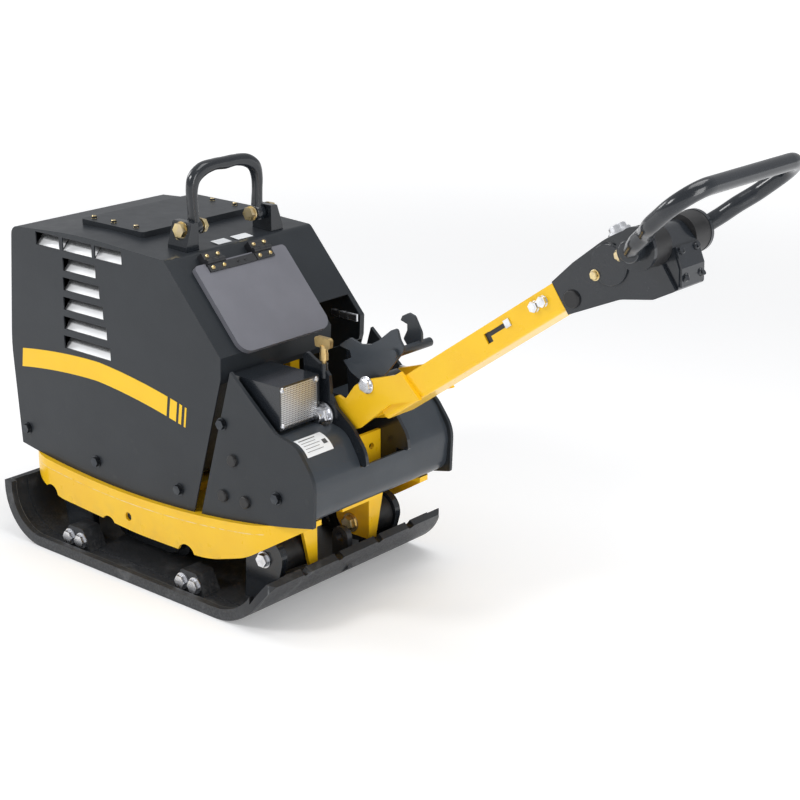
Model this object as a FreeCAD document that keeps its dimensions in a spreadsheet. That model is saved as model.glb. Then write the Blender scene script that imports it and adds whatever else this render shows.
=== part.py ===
import FreeCAD, Part
import math
import os

import Sketcher
from FreeCAD import Placement, Rotation, Vector

# Reversible plate compactor, in millimetres.
# +X points to the operator's handle, -Y to the side nearest the filler and
# louvres, +Z up. The origin is the middle of the base plate's flat underside.

SIZES = {
    # base plate and the bolted extension plates
    "plate_width": 450,
    "plate_thickness": 16,
    "toe_reach": 365,
    "toe_height": 130,
    "toe_radius": 115,
    "heel_reach": 378,
    "heel_radius": 155,
    "lip_run": 77,
    "lip_height": 103,
    "lip_notch_radius": 9,
    "lip_notch_inner": 60,
    "lip_notch_outer": 160,
    "extension_width": 50,
    "extension_thickness": 14,
    "extension_corner": 44,
    "rim_width": 14,
    "rim_thickness": 24,
    "lug_front": -165,
    "lug_rear": 195,
    "lug_height": 60,
    "lug_foot": 96,
    "lug_top": 46,
    "lug_depth": 18,
    "lug_bolt_gap": 38,
    "lug_bolt_height": 34,
    "towing_lug_x": 402,
    "towing_lug_height": 118,
    "towing_lug_radius": 22,
    "towing_lug_width": 14,
    "towing_hole_radius": 10,
    # exciter
    "exciter_x": -40,
    "exciter_pitch": 100,
    "exciter_cavity": 57,
    "exciter_wall": 10,
    "exciter_length": 260,
    "exciter_cover": 12,
    "shaft_radius": 15,
    "bearing_radius": 30,
    "bearing_width": 16,
    "gear_module": 5,
    "gear_width": 22,
    "weight_radius": 46,
    "weight_width": 70,
    # rubber buffers between base plate and frame
    "buffer_rear": 355,
    "buffer_front": -235,
    "buffer_height": 112,
    "buffer_radius": 42,
    "buffer_length": 78,
    "buffer_bolt_radius": 8,
    "post_face": 79,
    "post_wall": 8,
    "bracket_wall": 16,
    "bracket_radius": 50,
    # upper frame
    "frame_sill": 12,
    "frame_front": -352,
    "frame_rear": 486,
    "sheer_x": -12.6,
    "sheer_radius": 2332,
    "deck_top": 171,
    "deck_thickness": 8,
    "skirt_thickness": 6,
    "skirt_bottom": 90,
    "tie_hole_radius": 9.5,
    "tie_hole_x": -10,
    "tie_hole_z": 120,
    "rail_top": 190,
    # engine
    "crank_height": 330,
    "crank_radius": 22,
    "crankcase_front": -115,
    "crankcase_length": 180,
    "crankcase_width": 230,
    "crankcase_height": 215,
    "barrel_size": 130,
    "barrel_height": 150,
    "head_height": 55,
    "fin_depth": 12,
    "fin_count": 9,
    "flywheel_radius": 125,
    "flywheel_width": 34,
    "clutch_radius": 50,
    "pulley_radius": 40,
    "belt_thickness": 9,
    "belt_width": 22,
    "belt_y": 186,
    "muffler_radius": 48,
    "muffler_length": 250,
    "filter_radius": 56,
    "filter_length": 120,
    "tank_height": 250,
    "tank_depth": 120,
    "tank_width": 360,
    "battery_front": 257,
    "battery_length": 130,
    "battery_width": 104,
    "battery_height": 150,
    "starter_radius": 36,
    "starter_length": 160,
    # hood
    "hood_half_width": 211,
    "hood_wall": 3,
    "hood_front": -374,
    "hood_belly": 15,
    "hood_top_front": 697,
    "hood_crest": 711,
    "hood_crest_x": -143,
    "hood_brow_x": 123,
    "hood_brow_z": 700,
    "slope_angle": 48.1,
    "slope_length": 232,
    "hood_heel_x": 186,
    "slot_pitch": 43,
    "slot_height": 28,
    "slot_top": 697,
    "louvre_thickness": 2,
    "cover_front": -227,
    "cover_length": 198,
    "cover_near": -130,
    "cover_far": 198,
    "cover_height": 8,
    "hood_bolt_radius": 6,
    # lifting bow and its frame
    "lift_x": 84,
    "lift_pivot": 741,
    "lift_half_span": 90,
    "lift_top": 874,
    "lift_leg": 24,
    "lift_crown": 32,
    "lift_depth": 26,
    "lift_bolt_radius": 9,
    "lift_frame_top": 690,
    "lift_frame_gap": 11,
    "lift_post": 28,
    "bracket_length": 56,
    "bracket_foot": 34,
    # flap door and instrument panel on the slope
    "flap_top": 34,
    "flap_length": 205,
    "flap_near": -160,
    "flap_width": 257,
    "flap_height": 12,
    "flap_wall": 2.5,
    "flap_corner": 28,
    "hinge_axis_height": 16,
    "hinge_width": 50,
    "hinge_leaf": 19,
    "hinge_pin_radius": 3,
    "panel_depth": 30,
    "key_radius": 11,
    # console
    "console_half_width": 211,
    "console_wall": 8,
    "panel_wall": 5,
    "window_half": 67,
    "window_bottom": 318,
    "pivot_x": 420,
    "pivot_z": 408,
    "pivot_radius": 12,
    "pivot_bracket_face": 59,
    "pivot_bracket_wall": 8,
    "grille_front": 285,
    "grille_length": 134,
    "grille_near": -192,
    "grille_width": 112,
    "grille_bottom": 404,
    "grille_height": 90,
    "plug_radius": 13,
    "plug_height": 7,
    "knob_x": 417,
    "knob_radius": 6,
    "knob_height": 566,
    # drawbar
    "drawbar_angle": 35.5,
    "beam_start": 128,
    "beam_end": 640,
    "beam_half_width": 45,
    "beam_top": -17.5,
    "beam_height": 54,
    "beam_wall": 4,
    "beam_fold": 9,
    "cheek_wall": 8,
    "head_half_width": 44,
    "cheek_disc_along": 769,
    "cheek_disc_up": -43,
    "cheek_disc_radius": 38,
    "barrel_along": 863,
    "barrel_up": -51,
    "bow_barrel_radius": 37,
    "bow_barrel_half": 84,
    "sleeve_start": 37.5,
    "bow_ring": 8,
    "bow_pin_radius": 12,
    "bow_tube_radius": 15,
    "bow_half_width": 188,
    "bow_reach": 203,
    "bow_angle": 41,
    "bow_corner": 52,
    "bow_root_corner": 34,
    "bow_root_reach": 36,
    # latch
    "latch_along": 128,
    "latch_up": 6,
    "latch_side_gap": 6,
    "latch_wall": 6,
    "latch_rod_radius": 9,
    # fits
    "running_fit": 0.05,
    "hole_gap": 0.4,
    "joint_gap": 0.6,
}

doc = FreeCAD.newDocument("PlateCompactor")
sheet = doc.addObject("Spreadsheet::Sheet", "sizes")


class Size:
    """A length that carries both its number and the sheet formula that gives it."""

    def __init__(self, value, text):
        self.value = float(value)
        self.text = text

    def _with(self, other, sign, value):
        return Size(value, f"({self.text} {sign} {as_size(other).text})")

    def __add__(self, other):
        return self._with(other, "+", self.value + as_size(other).value)

    def __sub__(self, other):
        return self._with(other, "-", self.value - as_size(other).value)

    def __mul__(self, other):
        return self._with(other, "*", self.value * as_size(other).value)

    def __truediv__(self, other):
        return self._with(other, "/", self.value / as_size(other).value)

    def __radd__(self, other):
        return as_size(other) + self

    def __rsub__(self, other):
        return as_size(other) - self

    def __rmul__(self, other):
        return as_size(other) * self

    def __rtruediv__(self, other):
        return as_size(other) / self

    def __neg__(self):
        return Size(-self.value, f"(0 - {self.text})")


def as_size(number):
    return number if isinstance(number, Size) else Size(number, repr(float(number)))


def cosine(angle):
    return Size(math.cos(math.radians(angle.value)), f"cos({angle.text} * 1 deg)")


def sine(angle):
    return Size(math.sin(math.radians(angle.value)), f"sin({angle.text} * 1 deg)")


def tangent(angle):
    return sine(angle) / cosine(angle)


def root(number):
    return Size(math.sqrt(number.value), f"sqrt({number.text})")


def write_sheet():
    for row, (alias, value) in enumerate(SIZES.items(), start=1):
        sheet.set(f"A{row}", alias)
        sheet.set(f"B{row}", str(value))
        sheet.setAlias(f"B{row}", alias)
    doc.recompute()


class Sheet:
    """Gives each named size of the sheet as a Size."""

    def __getattr__(self, alias):
        return Size(SIZES[alias], f"sizes.{alias}")


write_sheet()
d = Sheet()
nodes = {}


def bind(item, prop, number):
    item.setExpression(prop, as_size(number).text)


def node(name, item):
    """Registers one finished piece under the name of its file."""
    item.Label = name
    nodes[name] = item
    return item


# ---------------------------------------------------------------- seats

class Seat:
    """A place on the machine: an origin and a turn about the Y axis, positive from +X down."""

    def __init__(self, x=0, y=0, z=0, turn=None):
        self.origin = [as_size(x), as_size(y), as_size(z)]
        self.turn = turn

    def point(self, along, across, up):
        along, across, up = as_size(along), as_size(across), as_size(up)
        x, y, z = self.origin
        if self.turn is None:
            return x + along, y + across, z + up
        return (x + along * cosine(self.turn) + up * sine(self.turn), y + across,
                z - along * sine(self.turn) + up * cosine(self.turn))

    def place(self, item, along=0, across=0, up=0, lean=None):
        """Puts the item's own origin at the given point, turned with the seat and by lean."""
        turn = self.turn
        if lean is not None:
            turn = as_size(lean) if turn is None else turn + lean
        if turn is not None:
            sign = -1 if turn.value < 0 else 1
            turn = turn * sign
            item.Placement = Placement(Vector(), Rotation(Vector(0, sign, 0), turn.value))
            item.setExpression("Placement.Rotation.Angle", f"{turn.text} * 1 deg")
        for axis, number in zip("xyz", self.point(along, across, up)):
            bind(item, f"Placement.Base.{axis}", number)
        return item


WORLD = Seat()
SLOPE = Seat(d.hood_brow_x, 0, d.hood_brow_z, d.slope_angle)
DRAWBAR = Seat(d.pivot_x, 0, d.pivot_z, -d.drawbar_angle)


# ---------------------------------------------------------------- simple solids

def box(name, low, size, seat=WORLD):
    item = doc.addObject("Part::Box", name)
    for prop, number in zip(("Length", "Width", "Height"), size):
        bind(item, prop, number)
    return seat.place(item, *low)


def cylinder_y(name, x, y, z, radius, length, seat=WORLD):
    """A round bar along +Y from the given point."""
    item = doc.addObject("Part::Cylinder", name)
    bind(item, "Radius", radius)
    bind(item, "Height", length)
    item.Placement = Placement(Vector(), Rotation(Vector(-1, 0, 0), 90))
    for axis, number in zip("xyz", seat.point(x, y, z)):
        bind(item, f"Placement.Base.{axis}", number)
    return item


def cylinder_up(name, x, y, z, radius, length, seat=WORLD):
    item = doc.addObject("Part::Cylinder", name)
    bind(item, "Radius", radius)
    bind(item, "Height", length)
    return seat.place(item, x, y, z)


def cylinder_along(name, x, y, z, radius, length, seat=WORLD):
    item = doc.addObject("Part::Cylinder", name)
    bind(item, "Radius", radius)
    bind(item, "Height", length)
    return seat.place(item, x, y, z, lean=as_size(90))


def hexagon_y(name, x, y, z, across_corners, length, seat=WORLD):
    item = doc.addObject("Part::Prism", name)
    item.Polygon = 6
    bind(item, "Circumradius", across_corners / 2)
    bind(item, "Height", length)
    item.Placement = Placement(Vector(), Rotation(Vector(-1, 0, 0), 90))
    for axis, number in zip("xyz", seat.point(x, y, z)):
        bind(item, f"Placement.Base.{axis}", number)
    return item


def cut(name, base, tools):
    tool = tools[0] if len(tools) == 1 else join(name + "_tools", tools)
    item = doc.addObject("Part::Cut", name)
    item.Base = base
    item.Tool = tool
    return item


def join(name, items):
    item = doc.addObject("Part::MultiFuse", name)
    item.Shapes = items
    item.Refine = True
    return item


def common(name, first, second):
    item = doc.addObject("Part::MultiCommon", name)
    item.Shapes = [first, second]
    return item


def group(name, items):
    item = doc.addObject("Part::Compound", name)
    item.Links = items
    return item


def side_low(sign, inner, thickness):
    """The lower Y of something that starts at inner on the given side and grows outwards."""
    return as_size(inner) if sign > 0 else -(as_size(inner) + thickness)


def bolt_y(name, x, y, z, sign, shank_radius, shank, seat=WORLD):
    """A hexagon bolt along Y whose head stands outwards from y on the given side."""
    head = shank_radius * 1.1
    washer = as_size(2)
    shank_low = y - shank if sign > 0 else y
    washer_low = y if sign > 0 else y - washer
    head_low = y + washer if sign > 0 else y - washer - head
    return join(name, [
        cylinder_y(name + "_shank", x, shank_low, z, shank_radius, shank, seat),
        cylinder_y(name + "_washer", x, washer_low, z, shank_radius * 2.2, washer, seat),
        hexagon_y(name + "_head", x, head_low, z, shank_radius * 3.6, head, seat),
    ])


# ---------------------------------------------------------------- sketched solids

def new_body(name):
    return doc.addObject("PartDesign::Body", name)


def new_sketch(body, plane, name="Sketch"):
    sketch = body.newObject("Sketcher::SketchObject", body.Name + name)
    support = [f for f in body.Origin.OriginFeatures if f.Role == plane][0]
    sketch.AttachmentSupport = [(support, "")]
    sketch.MapMode = "FlatFace"
    return sketch


def constrain(sketch, kind, targets, number, label):
    number = as_size(number)
    index = sketch.addConstraint(Sketcher.Constraint(kind, *targets, number.value))
    sketch.renameConstraint(index, label)
    if "sizes." in number.text:
        sketch.setExpression(f"Constraints.{label}", number.text)


def fix_point(sketch, geometry, position, x, y, label):
    constrain(sketch, "DistanceX", (-1, 1, geometry, position), x, label + "_x")
    constrain(sketch, "DistanceY", (-1, 1, geometry, position), y, label + "_y")


def rounded_corner(before, corner, after, radius):
    """Tangent points, centre and turning sense of a corner's arc."""
    back = (before - corner).normalize()
    ahead = (after - corner).normalize()
    half = back.getAngle(ahead) / 2
    start = corner + back * (radius / math.tan(half))
    end = corner + ahead * (radius / math.tan(half))
    centre = corner + (back + ahead).normalize() * (radius / math.sin(half))
    turns_left = (corner - before).cross(after - corner).z > 0
    return start, end, centre, turns_left


def draw_outline(sketch, outline, label):
    """Draws a closed outline of (x, y) or (x, y, radius) corners, every size bound to the sheet."""
    corners = [(as_size(c[0]), as_size(c[1]), as_size(c[2]) if len(c) > 2 else None) for c in outline]
    points = [Vector(x.value, y.value, 0) for x, y, radius in corners]
    count = len(corners)
    arcs = {}
    for index, (x, y, radius) in enumerate(corners):
        if radius is not None:
            before, after = points[index - 1], points[(index + 1) % count]
            arcs[index] = rounded_corner(before, points[index], after, radius.value)
    lines = []
    for index in range(count):
        following = (index + 1) % count
        start = arcs[index][1] if index in arcs else points[index]
        end = arcs[following][0] if following in arcs else points[following]
        lines.append(sketch.addGeometry(Part.LineSegment(start, end), False))
    for index, (x, y, radius) in enumerate(corners):
        name = f"{label}{index}"
        arriving, leaving = lines[index - 1], lines[index]
        if index not in arcs:
            sketch.addConstraint(Sketcher.Constraint("Coincident", arriving, 2, leaving, 1))
            fix_point(sketch, leaving, 1, x, y, name)
            continue
        start, end, centre, turns_left = arcs[index]
        first, last = (start, end) if turns_left else (end, start)
        angles = [math.atan2(p.y - centre.y, p.x - centre.x) for p in (first, last)]
        circle = Part.Circle(centre, Vector(0, 0, 1), radius.value)
        arc = sketch.addGeometry(Part.ArcOfCircle(circle, *angles), False)
        corner = sketch.addGeometry(Part.Point(points[index]), True)
        arc_start, arc_end = (1, 2) if turns_left else (2, 1)
        sketch.addConstraint(Sketcher.Constraint("Tangent", arriving, 2, arc, arc_start))
        sketch.addConstraint(Sketcher.Constraint("Tangent", arc, arc_end, leaving, 1))
        sketch.addConstraint(Sketcher.Constraint("PointOnObject", corner, 1, arriving))
        sketch.addConstraint(Sketcher.Constraint("PointOnObject", corner, 1, leaving))
        fix_point(sketch, corner, 1, x, y, name)
        constrain(sketch, "Radius", (arc,), radius, name + "_r")


def draw_circle(sketch, x, y, radius, label):
    x, y, radius = as_size(x), as_size(y), as_size(radius)
    circle = Part.Circle(Vector(x.value, y.value, 0), Vector(0, 0, 1), radius.value)
    index = sketch.addGeometry(circle, False)
    fix_point(sketch, index, 3, x, y, label)
    constrain(sketch, "Radius", (index,), radius, label + "_r")


def pad_outline(name, plane, outline, thickness, holes=(), windows=(), symmetric=True):
    """A flat piece: an outline with round holes and windows, given a thickness."""
    body = new_body(name)
    sketch = new_sketch(body, plane)
    draw_outline(sketch, outline, "p")
    for index, window in enumerate(windows):
        draw_outline(sketch, window, f"w{index}_")
    for index, hole in enumerate(holes):
        draw_circle(sketch, *hole, f"h{index}")
    pad = body.newObject("PartDesign::Pad", name + "Pad")
    pad.Profile = sketch
    pad.SideType = "Symmetric" if symmetric else "One side"
    bind(pad, "Length", thickness)
    doc.recompute()
    return body


def plate_y(name, outline, low, thickness, holes=(), windows=(), seat=WORLD):
    """An outline in X and Z, from Y = low, as thick as given towards +Y."""
    body = pad_outline(name, "XZ_Plane", outline, thickness, holes, windows)
    seat.place(body, 0, as_size(low) + as_size(thickness) / 2, 0)
    return body


def shell_out(body, open_faces, wall):
    """Hollows the body to the given wall, opening the faces that open_faces picks."""
    tip = body.Tip
    picked = [f"Face{i + 1}" for i, face in enumerate(tip.Shape.Faces) if open_faces(face)]
    thickness = body.newObject("PartDesign::Thickness", body.Name + "Wall")
    thickness.Base = (tip, picked)
    thickness.Reversed = True
    thickness.Mode = 0
    thickness.Join = 1
    bind(thickness, "Value", wall)
    doc.recompute()
    return body


def turned_y(name, outline, x=0, z=0, y=0, seat=WORLD):
    """A turned piece about an axis along Y: its outline gives radius and Y."""
    body = new_body(name)
    sketch = new_sketch(body, "XY_Plane")
    draw_outline(sketch, outline, "p")
    turned = body.newObject("PartDesign::Revolution", name + "Turn")
    turned.Profile = sketch
    turned.ReferenceAxis = (sketch, ["V_Axis"])
    turned.Angle = 360
    doc.recompute()
    seat.place(body, x, y, z)
    return body


def tube_along(name, wire, radius):
    """A round bar swept along a wire of lines and tangent arcs."""
    start = wire.OrderedVertexes[0].Point
    direction = wire.OrderedEdges[0].tangentAt(wire.OrderedEdges[0].FirstParameter)
    if (wire.OrderedEdges[0].valueAt(wire.OrderedEdges[0].FirstParameter) - start).Length > 1e-6:
        edge = wire.OrderedEdges[0]
        direction = edge.tangentAt(edge.LastParameter) * -1
    profile = Part.Wire(Part.makeCircle(radius.value, start, direction))
    item = doc.addObject("Part::Feature", name)
    item.Shape = wire.makePipeShell([profile], True, False)
    return item


def rounded_wire(points, radii):
    """Straight runs through the points, with a tangent arc at each inner one."""
    edges = []
    last = points[0]
    for before, corner, after, radius in zip(points, points[1:], points[2:], radii):
        back = (before - corner).normalize()
        ahead = (after - corner).normalize()
        half = back.getAngle(ahead) / 2
        reach = radius / math.tan(half)
        centre = corner + (back + ahead).normalize() * (radius / math.sin(half))
        middle = centre + (corner - centre).normalize() * radius
        start, end = corner + back * reach, corner + ahead * reach
        edges.append(Part.LineSegment(last, start).toShape())
        edges.append(Part.Arc(start, middle, end).toShape())
        last = end
    edges.append(Part.LineSegment(last, points[-1]).toShape())
    return Part.Wire(edges)


# ---------------------------------------------------------------- base plate

def sole_outline(thickness):
    """Side view of the sole: curved up at the toe, flat, and bent up to the rear lip."""
    bend = Size(math.degrees(math.atan2(d.lip_height.value, d.lip_run.value)),
                f"(atan2({d.lip_height.text}; {d.lip_run.text}) / 1 deg)")
    inward = tangent(bend / 2) * thickness
    return [
        (-d.toe_reach, d.toe_height),
        (-d.toe_reach, 0, d.toe_radius),
        (d.heel_reach, 0, d.heel_radius),
        (d.heel_reach + d.lip_run, d.lip_height),
        (d.heel_reach + d.lip_run - thickness * sine(bend), d.lip_height + thickness * cosine(bend)),
        (d.heel_reach - inward, thickness, d.heel_radius - thickness),
        (thickness - d.toe_reach, thickness, d.toe_radius - thickness),
        (thickness - d.toe_reach, d.toe_height),
    ]


def lug_outline(x, foot, top, height, base):
    half_foot, half_top = foot / 2, top / 2
    return [(x - half_foot, base), (x + half_foot, base), (x + half_top, height, 8), (x - half_top, height, 8)]


def lug_bolt_places():
    for x in (d.lug_front, d.lug_rear):
        for step in (-1, 1):
            yield x + d.lug_bolt_gap * step / 2, d.lug_bolt_height


def base_plate():
    half = d.plate_width / 2
    sole = plate_y("sole", sole_outline(d.plate_thickness), -half, d.plate_width)
    parts = [sole]
    lug_holes = [(x, z, 8 + d.hole_gap) for x, z in lug_bolt_places()]
    for name, sign in (("near", -1), ("far", 1)):
        for place, x in (("front", d.lug_front), ("rear", d.lug_rear)):
            outline = lug_outline(x, d.lug_foot, d.lug_top, d.lug_height, d.plate_thickness / 2)
            low = side_low(sign, half - d.lug_depth * 1.6, d.lug_depth * 1.6)
            holes = [h for h in lug_holes if (h[0] - x).value ** 2 < d.lug_foot.value ** 2]
            parts.append(plate_y(f"sole_lug_{name}_{place}", outline, low, d.lug_depth * 1.6, holes))
    radius = d.towing_lug_radius
    foot = d.plate_thickness * 1.5
    lug = [(d.towing_lug_x - radius, foot), (d.towing_lug_x + radius, foot * 2.2),
           (d.towing_lug_x + radius, d.towing_lug_height + radius, radius - 1),
           (d.towing_lug_x - radius, d.towing_lug_height + radius, radius - 1)]
    hole = (d.towing_lug_x, d.towing_lug_height, d.towing_hole_radius)
    parts.append(plate_y("towing_lug", lug, -d.towing_lug_width / 2, d.towing_lug_width, [hole]))
    whole = join("base_plate_casting", parts)
    notches = []
    for place in (d.lip_notch_inner, d.lip_notch_outer):
        for sign in (-1, 1):
            notches.append(cylinder_along(f"lip_notch_{sign}_{len(notches)}", d.heel_reach, place * sign,
                                          d.lip_height + 4, d.lip_notch_radius, d.lip_run * 2))
    node("base_plate", cut("base_plate", whole, notches))


def extension_plate(name, sign):
    half = d.plate_width / 2
    sole = plate_y(f"extension_sole_{name}", sole_outline(d.extension_thickness),
                   side_low(sign, half, d.extension_width), d.extension_width)
    rim = plate_y(f"extension_rim_{name}", sole_outline(d.rim_thickness),
                  side_low(sign, half + d.extension_width - d.rim_width, d.rim_width), d.rim_width)
    rim_room = box(f"extension_rim_end_{name}", (d.heel_reach + 27, -half * 2, 0), (d.lip_run * 2, half * 4, 400))
    parts = [sole, cut(f"extension_rim_cut_{name}", rim, [rim_room])]
    for place, x in (("front", d.lug_front), ("rear", d.lug_rear)):
        outline = lug_outline(x, d.lug_foot, d.lug_top, d.lug_height, d.extension_thickness / 2)
        holes = [(x + d.lug_bolt_gap * step / 2, d.lug_bolt_height, 8 + d.hole_gap) for step in (-1, 1)]
        parts.append(plate_y(f"extension_lug_{name}_{place}", outline,
                             side_low(sign, half, d.lug_depth), d.lug_depth, holes))
    whole = join(f"extension_casting_{name}", parts)
    outer = (half + d.extension_width) * sign
    front, rear = -d.toe_reach - 20, d.heel_reach + d.lip_run + 3
    plan = [(front, half * sign), (rear, half * sign), (rear, outer, d.extension_corner), (front, outer, 16)]
    plan_body = pad_outline(f"extension_plan_{name}", "XY_Plane", plan, d.toe_height * 4)
    node(f"extension_plate_{name}", common(f"extension_plate_{name}", whole, plan_body))


def base_bolts(more):
    """The bolts of the extension plates, and the outer bolts of the buffers."""
    bolts = list(more)
    for name, sign in (("near", -1), ("far", 1)):
        face = (d.plate_width / 2 + d.lug_depth) * sign
        for index, (x, z) in enumerate(lug_bolt_places()):
            bolts.append(bolt_y(f"extension_bolt_{name}_{index}", x, face, z, sign, as_size(8),
                                d.lug_depth * 2.4))
    node("base_bolts", group("base_bolts", bolts))


# ---------------------------------------------------------------- exciter

SHAFT_HEIGHT = d.plate_thickness + d.exciter_cavity + d.exciter_wall
DRIVE_X = d.exciter_x + d.exciter_pitch / 2
DRIVEN_X = d.exciter_x - d.exciter_pitch / 2
EXCITER_HALF = d.exciter_length / 2


def exciter_housing():
    outer = d.exciter_cavity + d.exciter_wall
    left, right = DRIVEN_X - outer, DRIVE_X + outer
    low, high = d.plate_thickness, SHAFT_HEIGHT + outer
    outline = [(left, low, outer * 0.45), (right, low, outer * 0.45),
               (right, high, outer * 0.9), (left, high, outer * 0.9)]
    casing = plate_y("exciter_casing", outline, -EXCITER_HALF, d.exciter_length)
    bores = [cylinder_y(f"exciter_bore_{i}", x, -EXCITER_HALF - 1, SHAFT_HEIGHT, d.exciter_cavity,
                        d.exciter_length + 2) for i, x in enumerate((DRIVE_X, DRIVEN_X))]
    node("exciter_housing", cut("exciter_housing", casing, bores))


def exciter_covers():
    covers = []
    reach = d.exciter_cavity + d.exciter_wall * 0.6
    for name, sign in (("near", -1), ("far", 1)):
        low_z, high_z = SHAFT_HEIGHT - reach, SHAFT_HEIGHT + reach
        outline = [(DRIVEN_X - reach, low_z, reach * 0.9), (DRIVE_X + reach, low_z, reach * 0.9),
                   (DRIVE_X + reach, high_z, reach * 0.9), (DRIVEN_X - reach, high_z, reach * 0.9)]
        holes = [(x, SHAFT_HEIGHT, d.bearing_radius) for x in (DRIVE_X, DRIVEN_X)]
        covers.append(plate_y(f"exciter_cover_{name}", outline, side_low(sign, EXCITER_HALF, d.exciter_cover),
                              d.exciter_cover, holes))
    node("exciter_covers", group("exciter_covers", covers))


def exciter_bearings():
    rings = []
    for name, sign in (("near", -1), ("far", 1)):
        for place, x in (("drive", DRIVE_X), ("driven", DRIVEN_X)):
            low = side_low(sign, EXCITER_HALF - (d.bearing_width - d.exciter_cover), d.bearing_width)
            inner = d.shaft_radius + d.running_fit
            outline = [(inner, low), (d.bearing_radius, low), (d.bearing_radius, low + d.bearing_width),
                       (inner, low + d.bearing_width)]
            rings.append(turned_y(f"bearing_{name}_{place}", outline, x, SHAFT_HEIGHT))
    node("exciter_bearings", group("exciter_bearings", rings))


def spur_gear(name, x, z, teeth, phase):
    """A spur gear about Y: a disc with one tooth repeated around it."""
    module = d.gear_module
    pitch_radius = module * teeth / 2
    body = new_body(name)
    disc_sketch = new_sketch(body, "XZ_Plane", "Disc")
    draw_circle(disc_sketch, 0, 0, pitch_radius - module * 1.3, "disc")
    draw_circle(disc_sketch, 0, 0, d.shaft_radius, "bore")
    disc = body.newObject("PartDesign::Pad", name + "Disc")
    disc.Profile = disc_sketch
    disc.SideType = "Symmetric"
    bind(disc, "Length", d.gear_width)
    tooth_sketch = new_sketch(body, "XZ_Plane", "Tooth")
    root_radius, tip_radius = pitch_radius - module * 1.5, pitch_radius + module * 0.9
    draw_outline(tooth_sketch, [(-module, root_radius), (module, root_radius),
                                (module * 0.42, tip_radius), (-module * 0.42, tip_radius)], "t")
    tooth = body.newObject("PartDesign::Pad", name + "Tooth")
    tooth.Profile = tooth_sketch
    tooth.SideType = "Symmetric"
    bind(tooth, "Length", d.gear_width)
    doc.recompute()
    pattern = body.newObject("PartDesign::PolarPattern", name + "Teeth")
    pattern.Originals = [tooth]
    pattern.Axis = (disc_sketch, ["N_Axis"])
    pattern.Angle = 360
    pattern.Occurrences = teeth
    body.Tip = pattern
    doc.recompute()
    WORLD.place(body, x, 0, z, lean=as_size(phase))
    return body


def eccentric_weights(name, x):
    """Two half discs, hanging under the shaft, one each side of the gear."""
    weights = []
    for side, sign in (("near", -1), ("far", 1)):
        low = side_low(sign, d.gear_width / 2 + 12, d.weight_width)
        half_disc = doc.addObject("Part::Cylinder", f"{name}_{side}_disc")
        bind(half_disc, "Radius", d.weight_radius)
        bind(half_disc, "Height", d.weight_width)
        half_disc.Angle = 180
        turn = Rotation(Vector(-1, 0, 0), 90)
        half_disc.Placement = Placement(Vector(), turn)
        for axis, number in zip("xyz", (x, low, SHAFT_HEIGHT)):
            bind(half_disc, f"Placement.Base.{axis}", number)
        hub = cylinder_y(f"{name}_{side}_hub", x, low, SHAFT_HEIGHT, d.shaft_radius * 1.5, d.weight_width)
        whole = join(f"{name}_{side}", [half_disc, hub])
        bore = cylinder_y(f"{name}_{side}_bore", x, low - 1, SHAFT_HEIGHT, d.shaft_radius, d.weight_width + 2)
        weights.append(cut(f"{name}_{side}_weight", whole, [bore]))
    return group(name, weights)


def exciter_shafts():
    shaft_half = EXCITER_HALF + d.exciter_cover
    end = d.belt_y + d.belt_width / 2
    drive = cylinder_y("drive_shaft", DRIVE_X, -shaft_half, SHAFT_HEIGHT, d.shaft_radius, shaft_half + end)
    driven = cylinder_y("driven_shaft", DRIVEN_X, -shaft_half, SHAFT_HEIGHT, d.shaft_radius, shaft_half * 2)
    node("drive_shaft", drive)
    node("driven_shaft", driven)
    node("drive_weights", eccentric_weights("drive_weights", DRIVE_X))
    node("driven_weights", eccentric_weights("driven_weights", DRIVEN_X))
    teeth = round((d.exciter_pitch / d.gear_module).value)
    node("drive_gear", spur_gear("drive_gear", DRIVE_X, SHAFT_HEIGHT, teeth, 0))
    node("driven_gear", spur_gear("driven_gear", DRIVEN_X, SHAFT_HEIGHT, teeth, 180 / teeth))


def belt_pulley(name, x, z, radius, bore):
    """A pulley with one groove, about Y, centred on the belt."""
    half, groove = d.belt_width / 2, d.belt_thickness
    low, high = d.belt_y - half - 3, d.belt_y + half + 3
    outline = [(bore, low), (radius + groove, low), (radius + groove, d.belt_y - half - 0.5),
               (radius, d.belt_y - half + 3), (radius, d.belt_y + half - 3),
               (radius + groove, d.belt_y + half + 0.5), (radius + groove, high), (bore, high)]
    return turned_y(name, outline, x, z)


def v_belt():
    """The belt's loop round both pulleys: an outer loop less an inner one."""
    low_radius, high_radius = d.pulley_radius.value, d.clutch_radius.value
    span = (d.crank_height - SHAFT_HEIGHT).value
    lean = math.asin((high_radius - low_radius) / span)

    def loop(extra):
        low, high = low_radius + extra, high_radius + extra
        across, rise = math.cos(lean), math.sin(lean)
        right_low = Vector(low * across, 0, -low * rise)
        right_high = Vector(high * across, 0, span - high * rise)
        left_low = Vector(-right_low.x, 0, right_low.z)
        left_high = Vector(-right_high.x, 0, right_high.z)
        edges = [
            Part.LineSegment(right_low, right_high).toShape(),
            Part.Arc(right_high, Vector(0, 0, span + high), left_high).toShape(),
            Part.LineSegment(left_high, left_low).toShape(),
            Part.Arc(left_low, Vector(0, 0, -low), right_low).toShape(),
        ]
        return Part.Face(Part.Wire(edges))

    gap = 0.2
    ring = loop(d.belt_thickness.value).cut(loop(gap))
    width = (d.belt_width - 6).value
    item = doc.addObject("Part::Feature", "v_belt")
    item.Shape = ring.extrude(Vector(0, width, 0))
    item.Placement = Placement(Vector(DRIVE_X.value, d.belt_y.value - width / 2, SHAFT_HEIGHT.value), Rotation())
    node("v_belt", item)


# ---------------------------------------------------------------- buffers, posts and brackets

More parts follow.
